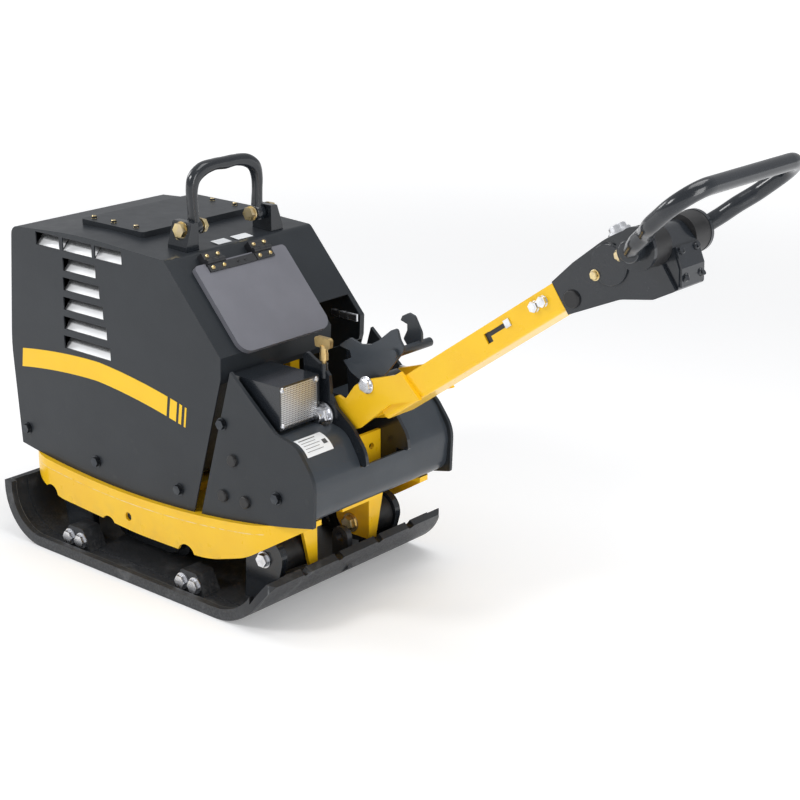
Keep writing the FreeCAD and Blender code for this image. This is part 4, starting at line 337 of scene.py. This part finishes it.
LOOKS = {
    "cast_plate": ["base_plate", "extension_plate_near", "extension_plate_far"],
    "black_steel": ["buffer_brackets", "lift_brackets", "pivot_brackets", "grille_box",
                    "handle_head", "head_cover", "control_bow", "lifting_bow",
                    "exciter_housing", "exciter_covers"],
    "dark_bolt": ["frame_bolts"],
    "zinc": ["base_bolts", "drawbar_bolts", "pivot_bolt"],
    "gold": ["lift_bolts"],
    "grey_cast": ["engine_crankcase", "engine_cylinder"],
    "steel": ["exciter_bearings", "drive_shaft", "driven_shaft", "drive_gear", "driven_gear",
              "drive_weights", "driven_weights", "crankshaft", "flywheel", "clutch_pulley",
              "exciter_pulley"],
    "skirt": ["frame_skirts"],
    "yellow": ["frame_deck", "frame_posts", "lift_frame", "drawbar_yoke", "drawbar_beam"],
    "rubber": ["rubber_buffers", "side_plugs", "head_caps", "bow_sleeves", "v_belt"],
    "plastic": ["muffler", "air_filter", "fuel_tank", "battery", "starter_motor",
                "instrument_panel", "key_switch", "hinge_bases", "flap_hinges"],
    "anthracite": ["console_panel", "latch"],
    "hood": ["hood_shell", "console_sides", "hood_top_cover"],
    "flap": ["flap_door"],
    "louvre": ["hood_louvres"],
    "mesh": ["grille_mesh"],
    "brass": ["stop_screw"],
}

# each rounded edge's width, in metres
BEVELS = {
    "hood_shell": 0.0022, "hood_top_cover": 0.0012, "flap_door": 0.0009,
    "flap_hinges": 0.0005, "hinge_bases": 0.0005,
    "console_sides": 0.0014, "console_panel": 0.001, "side_plugs": 0.001, "grille_box": 0.001,
    "drawbar_beam": 0.001, "drawbar_yoke": 0.0016, "drawbar_bolts": 0.0007,
    "handle_head": 0.0075, "head_cover": 0.001, "latch": 0.001,
    "lift_brackets": 0.0022, "lift_bolts": 0.0009,
    "pivot_brackets": 0.0014, "pivot_bolt": 0.001, "stop_screw": 0.0012,
    "frame_deck": 0.001, "frame_skirts": 0.0012, "frame_posts": 0.0016, "frame_bolts": 0.0007,
    "buffer_brackets": 0.003, "base_plate": 0.002, "base_bolts": 0.0008,
    "extension_plate_near": 0.002, "extension_plate_far": 0.002,
    "engine_cylinder": 0.001, "fuel_tank": 0.003, "battery": 0.002,
}


def soften(item, width):
    """Small rounded edges, lit as one surface."""
    bevel = item.modifiers.new("edges", "BEVEL")
    bevel.affect = "EDGES"
    bevel.width = width
    bevel.segments = 2
    bevel.profile = 0.5
    bevel.material = -1
    bevel.limit_method = "ANGLE"
    bevel.angle_limit = math.radians(32)
    normals = item.modifiers.new("normals", "WEIGHTED_NORMAL")
    normals.keep_sharp = True


for look, names in LOOKS.items():
    for name in names:
        item = NODES[name]
        item.data.materials.clear()
        item.data.materials.append(MATS[look])
for name, width in BEVELS.items():
    soften(NODES[name], width)


# ---------------------------------------------------------------- mesh helpers

def finish_mesh(name, mesh, look, body, smooth=35):
    """Turns a bmesh into an object with a finish, riding on a body."""
    bmesh.ops.recalc_face_normals(mesh, faces=mesh.faces)
    data = bpy.data.meshes.new(name)
    mesh.to_mesh(data)
    mesh.free()
    item = bpy.data.objects.new(name, data)
    bpy.context.scene.collection.objects.link(item)
    data.materials.append(MATS[look])
    data.polygons.foreach_set("use_smooth", [True] * len(data.polygons))
    data.set_sharp_from_angle(angle=math.radians(smooth))
    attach(item, body)
    return item


def ring_of(mesh, centre, side, up, profile):
    """One closed ring of vertices: profile gives (side, up) offsets."""
    return [mesh.verts.new(centre + side * a + up * b) for a, b in profile]


def bridge(mesh, first, second):
    """A band of faces between two rings."""
    count = len(first)
    for index in range(count):
        other = (index + 1) % count
        mesh.faces.new((first[index], first[other], second[other], second[index]))


def skin(mesh, rings):
    """Joins each ring to the next and closes both ends."""
    for first, second in zip(rings, rings[1:]):
        bridge(mesh, first, second)
    mesh.faces.new(rings[0])
    mesh.faces.new(rings[-1])


def circle(radius, steps):
    turns = [2 * math.pi * index / steps for index in range(steps)]
    return [(math.cos(turn) * radius, math.sin(turn) * radius) for turn in turns]


def heading(path, index):
    """The direction of a path at one of its points."""
    return (path[min(index + 1, len(path) - 1)] - path[max(index - 1, 0)]).normalized()


def turned(mesh, origin, axis, outline, steps=24):
    """A lathe: outline is (radius, height) from foot to top; six steps give a hexagon."""
    axis = axis.normalized()
    side = axis.orthogonal().normalized()
    up = axis.cross(side)
    skin(mesh, [ring_of(mesh, origin + axis * height, side, up, circle(radius, steps))
                for radius, height in outline])


def scaled(size, outline):
    return [(size * a, size * b) for a, b in outline]


def hex_screw(mesh, origin, axis, size, height):
    """A washer and a chamfered hexagon head with a domed top."""
    turned(mesh, origin, axis,
           scaled(size, [(1.05, 0), (1.12, 0.05), (1.12, 0.12), (1.05, 0.17), (0.5, 0.17)]), 28)
    foot = size * 0.15
    turned(mesh, origin, axis, [(size * 0.86, foot), (size * 0.9, foot + size * 0.05),
                                (size * 0.9, foot + height * 0.82),
                                (size * 0.76, foot + height),
                                (size * 0.2, foot + height * 1.02)], 6)


def socket_screw(mesh, origin, axis, size):
    """A round-headed screw with a hollow in its top."""
    turned(mesh, origin, axis, scaled(size, [(1, 0), (1, 0.35), (0.82, 0.62), (0.5, 0.7),
                                             (0.45, 0.3), (0.05, 0.28)]))


def slab(mesh, corners, normal, thickness):
    """A flat plate from its outline."""
    low = [mesh.verts.new(corner) for corner in corners]
    high = [mesh.verts.new(corner + normal * thickness) for corner in corners]
    mesh.faces.new(list(reversed(low)))
    mesh.faces.new(high)
    bridge(mesh, low, high)


def block(mesh, low, high):
    """An upright box between two corners."""
    corners = [Vector((x, y, low[2])) for x, y in
               ((low[0], low[1]), (high[0], low[1]), (high[0], high[1]), (low[0], high[1]))]
    slab(mesh, corners, UP, high[2] - low[2])


def rounded_rect(width, height, radius, steps):
    points = []
    for cx, cy, start in ((1, 1, 0), (-1, 1, 90), (-1, -1, 180), (1, -1, 270)):
        for index in range(steps + 1):
            angle = math.radians(start + 90 * index / steps)
            points.append(((width / 2 - radius) * cx + math.cos(angle) * radius,
                           (height / 2 - radius) * cy + math.sin(angle) * radius))
    return points


def smooth_path(points, steps):
    """Points along a smooth curve through the given ones."""
    result = []
    padded = [points[0] * 2 - points[1]] + list(points) + [points[-1] * 2 - points[-2]]
    for a, b, c, e in zip(padded, padded[1:], padded[2:], padded[3:]):
        for index in range(steps):
            t = index / steps
            result.append(0.5 * ((2 * b) + (c - a) * t + (2 * a - 5 * b + 4 * c - e) * t * t
                                 + (3 * b - a - 3 * c + e) * t ** 3))
    result.append(points[-1])
    return result


def tube(mesh, path, radius, sides, normal):
    """A round bar along a path that lies square to the normal."""
    rings = []
    for index, point in enumerate(path):
        ahead = heading(path, index)
        side = ahead.cross(normal).normalized()
        up = side.cross(ahead).normalized()
        rings.append(ring_of(mesh, point, side, up, circle(radius, sides)))
    skin(mesh, rings)


# places on the machine, in metres
SLOPE_ORIGIN, SLOPE_TURN = Vector((0.123, 0, 0.700)), math.radians(48.1)
SLOPE_ALONG = Vector((math.cos(SLOPE_TURN), 0, -math.sin(SLOPE_TURN)))
SLOPE_UP = Vector((math.sin(SLOPE_TURN), 0, math.cos(SLOPE_TURN)))
PIVOT, BAR_TURN = Vector((0.420, 0, 0.408)), math.radians(35.5)
BAR_ALONG = Vector((math.cos(BAR_TURN), 0, math.sin(BAR_TURN)))
BAR_UP = Vector((-math.sin(BAR_TURN), 0, math.cos(BAR_TURN)))
HOOD_SIDE = 0.2111
BROW_CENTRE, BROW_RADIUS = Vector((0.4472, 0, 0.3409)), 0.0501
BOW_X, BOW_EYE_Y, BOW_EYE_Z = 0.084, 0.090, 0.741


def on_slope(s, y, n=0.0):
    """A point s down the hood's slope, n proud of it."""
    return SLOPE_ORIGIN + SLOPE_ALONG * s + ACROSS * y + SLOPE_UP * n


def on_bar(u, y, w=0.0):
    """A point u along the drawbar from its pivot, w above its middle line."""
    return PIVOT + BAR_ALONG * u + ACROSS * y + BAR_UP * w


# ---------------------------------------------------------------- pieces on the flap and slope

def hinge_screws():
    """Two screws in each half of both hinges."""
    mesh_fixed, mesh_moving = bmesh.new(), bmesh.new()
    hinge_width, proud, size = 0.050, 0.016, 0.0046
    for low in (-0.128, 0.004):
        for share in (0.2, 0.8):
            y = low + hinge_width * share
            socket_screw(mesh_fixed, on_slope(0.0205, y, proud), SLOPE_UP, size)
            socket_screw(mesh_moving, on_slope(0.0475, y, proud), SLOPE_UP, size)
    finish_mesh("hinge_screws_fixed", mesh_fixed, "gold", "upper_frame")
    finish_mesh("hinge_screws_moving", mesh_moving, "gold", "flap")


def hinge_bar():
    """The strip between the two hinges, with two screws."""
    mesh = bmesh.new()
    corners = [on_slope(s, y, 0.0118) for s, y in
               ((0.038, -0.077), (0.056, -0.077), (0.056, 0.003), (0.038, 0.003))]
    slab(mesh, corners, SLOPE_UP, 0.003)
    for y in (-0.047, -0.027):
        socket_screw(mesh, on_slope(0.047, y, 0.0146), SLOPE_UP, 0.0030)
    finish_mesh("hinge_bar", mesh, "plastic", "flap")


def flap_seal():
    """A rubber edge under the flap's rim, seen as a dark line round it."""
    mesh = bmesh.new()
    centre_s, centre_y, proud = 0.1365, -0.0315, 0.0012
    path = [on_slope(centre_s + a, centre_y + b, proud)
            for a, b in rounded_rect(0.200, 0.252, 0.025, 6)]
    path.append(path[0])
    tube(mesh, path, 0.0022, 8, SLOPE_UP)
    finish_mesh("flap_seal", mesh, "rubber", "flap")


def gauges():
    """The hour meter's dial and the panel's lamps under the flap."""
    mesh = bmesh.new()
    turned(mesh, on_slope(0.1027, -0.0787, -0.022), SLOPE_UP,
           [(0.026, 0), (0.027, 0.002), (0.027, 0.005), (0.023, 0.006), (0.022, 0.003),
            (0.002, 0.003)], 40)
    finish_mesh("dial_bezel", mesh, "zinc", "upper_frame")
    mesh = bmesh.new()
    for index in range(4):
        turned(mesh, on_slope(0.196, -0.12 + 0.03 * index, -0.030), SLOPE_UP,
               [(0.006, 0), (0.006, 0.003), (0.004, 0.0055), (0.001, 0.006)], 16)
    finish_mesh("panel_lamps", mesh, "stripe", "upper_frame")


# ---------------------------------------------------------------- lifting bow

def lifting_bow():
    """The forged bow: flattened eyes, waisted legs, a broad crown with a hollow on top."""
    # y and z of the bar's middle, then half its thickness in the bow's plane and across it
    near_half = [(-0.0900, 0.727, 0.0115, 0.0128), (-0.0905, 0.745, 0.0120, 0.0128),
                 (-0.0910, 0.768, 0.0105, 0.0115), (-0.0925, 0.793, 0.0105, 0.0108),
                 (-0.0925, 0.818, 0.0120, 0.0112), (-0.0850, 0.841, 0.0140, 0.0124),
                 (-0.0620, 0.856, 0.0142, 0.0130), (-0.0300, 0.861, 0.0118, 0.0124),
                 (0.0, 0.860, 0.0130, 0.0118)]
    stations = near_half + [(-y, z, deep, wide) for y, z, deep, wide in reversed(near_half[:-1])]
    steps, sides, squareness = 6, 20, 0.78
    mesh = bmesh.new()
    path = smooth_path([Vector((BOW_X, y, z)) for y, z, _, _ in stations], steps)
    rings = []
    for index, point in enumerate(path):
        up = REARWARD.cross(heading(path, index)).normalized()
        share = index / steps
        low = min(int(share), len(stations) - 1)
        high = min(low + 1, len(stations) - 1)
        blend = share - low
        deep = stations[low][2] * (1 - blend) + stations[high][2] * blend
        wide = stations[low][3] * (1 - blend) + stations[high][3] * blend
        profile = [(math.copysign(abs(a) ** squareness, a) * wide,
                    math.copysign(abs(b) ** squareness, b) * deep) for a, b in circle(1, sides)]
        rings.append(ring_of(mesh, point, REARWARD, up, profile))
    skin(mesh, rings)
    for y in (-BOW_EYE_Y, BOW_EYE_Y):
        turned(mesh, Vector((BOW_X, y - 0.0118, BOW_EYE_Z)), ACROSS,
               [(0.015, 0), (0.0165, 0.0016), (0.0165, 0.022), (0.015, 0.0236)], 28)
    bow = finish_mesh("bow_forging", mesh, "black_steel", "lifting_bow", 50)
    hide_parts("lifting_bow")


# ---------------------------------------------------------------- hood trims and labels

def stripes():
    """The plain arched band and three bars on both side panels."""
    band, lean, film = 0.043, 0.006, 0.0003

    def top(x):
        return 0.4440 - 0.30 * (x + 0.095) ** 2 - 0.075 * max(x + 0.095, 0)

    for name, sign in (("near", -1), ("far", 1)):
        mesh = bmesh.new()
        spans = [(-0.350, 0.118, 40), (0.126, 0.146, 2), (0.153, 0.161, 2), (0.169, 0.174, 2)]
        for front, rear, count in spans:
            rows = []
            for index in range(count + 1):
                x = front + (rear - front) * index / count
                rows.append([mesh.verts.new(Vector((x - lean * foot, (HOOD_SIDE + lift) * sign,
                                                    top(x) - band * foot)))
                             for foot, lift in ((0, 0.0), (1, 0.0), (1, film), (0, film))])
            skin(mesh, rows)
        finish_mesh(f"stripe_{name}", mesh, "stripe", "upper_frame")


def curved_label(name, look, angles, ends, lift=0.0):
    """A thin strip that follows the rounded brow of the console, from one angle to another."""
    mesh = bmesh.new()
    steps, film = 8, 0.0004
    inner = BROW_RADIUS + lift
    rows = []
    for step in range(steps + 1):
        angle = math.radians(angles[0] + (angles[1] - angles[0]) * step / steps)
        out = Vector((math.cos(angle), 0, math.sin(angle)))
        rows.append([mesh.verts.new(BROW_CENTRE + out * radius + ACROSS * y)
                     for y, radius in ((ends[0], inner), (ends[1], inner),
                                       (ends[1], inner + film), (ends[0], inner + film))])
    skin(mesh, rows)
    finish_mesh(name, mesh, look, "upper_frame")


def labels():
    """Blank pale plates: two on the hood's top and one with ruled lines on the console."""
    mesh = bmesh.new()
    front, rear = (0.088, 0.7039), (0.112, 0.7012)
    for low, high in ((-0.050, -0.012), (0.006, 0.050)):
        corners = [Vector((x, y, z)) for (x, z), y in
                   ((front, low), (rear, low), (rear, high), (front, high))]
        slab(mesh, corners, UP, 0.0004)
    finish_mesh("hood_labels", mesh, "label", "upper_frame")
    curved_label("rating_plate", "label", (84, 30), (-0.190, -0.117))
    over_plate = 0.0005
    for index, angles in enumerate(((76, 74), (66, 65), (58, 57), (50, 49), (42, 41))):
        curved_label(f"rating_line_{index}", "ink", angles,
                     (-0.184, -0.140 - 0.006 * (index % 2)), over_plate)
    curved_label("rating_block", "ink", (60, 48), (-0.134, -0.123), over_plate)


# ---------------------------------------------------------------- screws, bolts and fittings

def bolts():
    """The screws of the top cover, the heads inside the posts and the grille's screws."""
    mesh = bmesh.new()
    for x in (-0.2072, -0.1438, -0.0726):
        for y in (-0.109, 0.177):
            hex_screw(mesh, Vector((x, y, 0.7188)), UP, 0.0056, 0.005)
    finish_mesh("cover_screws", mesh, "gold", "upper_frame")
    mesh = bmesh.new()
    for x in (0.355, -0.235):
        for sign in (-1, 1):
            hex_screw(mesh, Vector((x, 0.079 * sign, 0.112)), ACROSS * -sign, 0.0190, 0.013)
    finish_mesh("post_bolts", mesh, "gold", "upper_frame")
    mesh = bmesh.new()
    for y in (-0.184, -0.088):
        for z in (0.412, 0.486):
            socket_screw(mesh, Vector((0.4175, y, z)), REARWARD, 0.0060)
    finish_mesh("grille_screws", mesh, "zinc", "upper_frame")


def head_details():
    """The gold bolts, the filler cap and the cover plate's screws on the drawbar's head."""
    mesh = bmesh.new()
    for sign in (-1, 1):
        for u, w in ((0.799, -0.039), (0.735, -0.046)):
            hex_screw(mesh, on_bar(u, 0.0500 * sign, w), ACROSS * sign, 0.0090, 0.0055)
    finish_mesh("head_bolts", mesh, "gold", "drawbar")
    mesh = bmesh.new()
    turned(mesh, on_bar(0.786, 0, -0.003), BAR_UP,
           [(0.022, 0), (0.022, 0.007), (0.0200, 0.009), (0.0165, 0.009), (0.0165, 0.016),
            (0.0145, 0.018), (0.002, 0.018)], 30)
    finish_mesh("head_filler", mesh, "zinc", "drawbar")
    mesh = bmesh.new()
    for u, w, turn in ((0.8952, -0.084, 0.22), (0.8795, -0.124, 0.6)):
        out = (BAR_ALONG - BAR_UP * turn).normalized()
        for y in (-0.022, 0.022):
            socket_screw(mesh, on_bar(u, y, w), out, 0.0062)
    finish_mesh("cover_plate_screws", mesh, "black_steel", "drawbar")


def beam_details():
    """The dark plate behind the beam's slot, and the big bolts of the latch and the pivot."""
    mesh = bmesh.new()
    corners = [on_bar(u, -0.0408, w) for u, w in
               ((0.436, -0.056), (0.527, -0.056), (0.527, -0.024), (0.436, -0.024))]
    slab(mesh, corners, ACROSS, 0.002)
    finish_mesh("slot_backing", mesh, "plastic", "drawbar")
    mesh = bmesh.new()
    hex_screw(mesh, on_bar(0.128, -0.0532, 0.006), -ACROSS, 0.0158, 0.0085)
    finish_mesh("latch_bolt", mesh, "zinc", "drawbar")
    mesh = bmesh.new()
    hex_screw(mesh, PIVOT - ACROSS * 0.0690, -ACROSS, 0.0235, 0.012)
    turned(mesh, PIVOT - ACROSS * 0.0820, -ACROSS,
           [(0.012, 0), (0.012, 0.009), (0.0105, 0.011), (0.002, 0.011)], 28)
    finish_mesh("pivot_head", mesh, "zinc", "upper_frame")


def far_rack():
    """The bright three-cell rack in the slope's far corner."""
    mesh = bmesh.new()
    block(mesh, (0.240, 0.149, 0.531), (0.312, 0.153, 0.546))
    finish_mesh("rack_frame", mesh, "zinc", "upper_frame")
    mesh = bmesh.new()
    cell, pitch = 0.0200, 0.0235
    for index in range(3):
        front = 0.2425 + pitch * index
        block(mesh, (front, 0.1482, 0.5328), (front + cell, 0.1495, 0.5442))
    finish_mesh("rack_cells", mesh, "rubber", "upper_frame")


hinge_screws()
hinge_bar()
flap_seal()
gauges()
lifting_bow()
stripes()
labels()
bolts()
head_details()
beam_details()
far_rack()


# ---------------------------------------------------------------- floor, light and camera

def floor():
    """A wide sheet of white paper that glows more with distance."""
    reach, drop = 60.0, -0.0005
    mesh = bmesh.new()
    mesh.faces.new([mesh.verts.new(Vector((a * reach, b * reach, drop)))
                    for a, b in ((-1, -1), (1, -1), (1, 1), (-1, 1))])
    data = bpy.data.meshes.new("floor")
    mesh.to_mesh(data)
    mesh.free()
    item = bpy.data.objects.new("floor", data)
    bpy.context.scene.collection.objects.link(item)
    net = Net("floor_paper")
    x, y, _ = net.axes()
    far = (x * x + y * y).root().ramp(1.6, 7.0)
    net.set(Base_Color=net.mix(net.noise(3, 3) * 0.3, (0.90, 0.90, 0.90), (0.87, 0.87, 0.875)),
            Roughness=0.75, Emission_Strength=1.0,
            Emission_Color=net.mix(far, (0.16, 0.16, 0.16), (0.80, 0.80, 0.80)))
    data.materials.append(net.material)


def area_light(name, place, target, size, power):
    light = bpy.data.lights.new(name, "AREA")
    light.shape = "RECTANGLE"
    light.size, light.size_y = size
    light.energy = power
    item = bpy.data.objects.new(name, light)
    bpy.context.scene.collection.objects.link(item)
    item.location = place
    item.rotation_euler = (Vector(target) - Vector(place)).to_track_quat("-Z", "Y").to_euler()


def studio():
    """Four soft lights and a pale surround that looks brighter than it shines."""
    area_light("key", (-1.6, -3.2, 3.2), (0.2, 0, 0.4), (1.2, 1.2), 70)
    area_light("fill", (4.2, -0.4, 1.6), (0.4, 0, 0.4), (1.6, 2.4), 60)
    area_light("top", (0.9, 0.5, 3.6), (0.2, 0, 0.4), (2.0, 2.0), 42)
    area_light("back", (-3.4, -0.6, 2.4), (0.2, 0, 0.5), (1.4, 1.4), 34)
    light_given, light_seen = 0.50, 1.15
    world = bpy.data.worlds.new("studio")
    world.use_nodes = True
    tree = world.node_tree
    background = tree.nodes["Background"]
    background.inputs[0].default_value = (0.97, 0.98, 1.0, 1)
    rays = tree.nodes.new("ShaderNodeLightPath")
    strength = tree.nodes.new("ShaderNodeMapRange")
    strength.inputs[3].default_value = light_given
    strength.inputs[4].default_value = light_seen
    tree.links.new(rays.outputs["Is Camera Ray"], strength.inputs[0])
    tree.links.new(strength.outputs[0], background.inputs[1])
    bpy.context.scene.world = world


def camera():
    """Behind the machine on its near side, looking down on the hood and the drawbar."""
    azimuth, elevation = math.radians(40.84), math.radians(18.73)
    sensor_mm, focal_mm = 36, 81.18
    lens = bpy.data.cameras.new("camera")
    lens.sensor_width = sensor_mm
    lens.lens = focal_mm
    item = bpy.data.objects.new("camera", lens)
    bpy.context.scene.collection.objects.link(item)
    item.location = (2.751, -2.534, 1.587)
    look = Vector((-math.sin(azimuth) * math.cos(elevation),
                   math.cos(azimuth) * math.cos(elevation),
                   -math.sin(elevation)))
    item.rotation_euler = look.to_track_quat("-Z", "Y").to_euler()
    bpy.context.scene.camera = item


floor()
studio()
camera()
bpy.context.scene.view_settings.view_transform = "Standard"
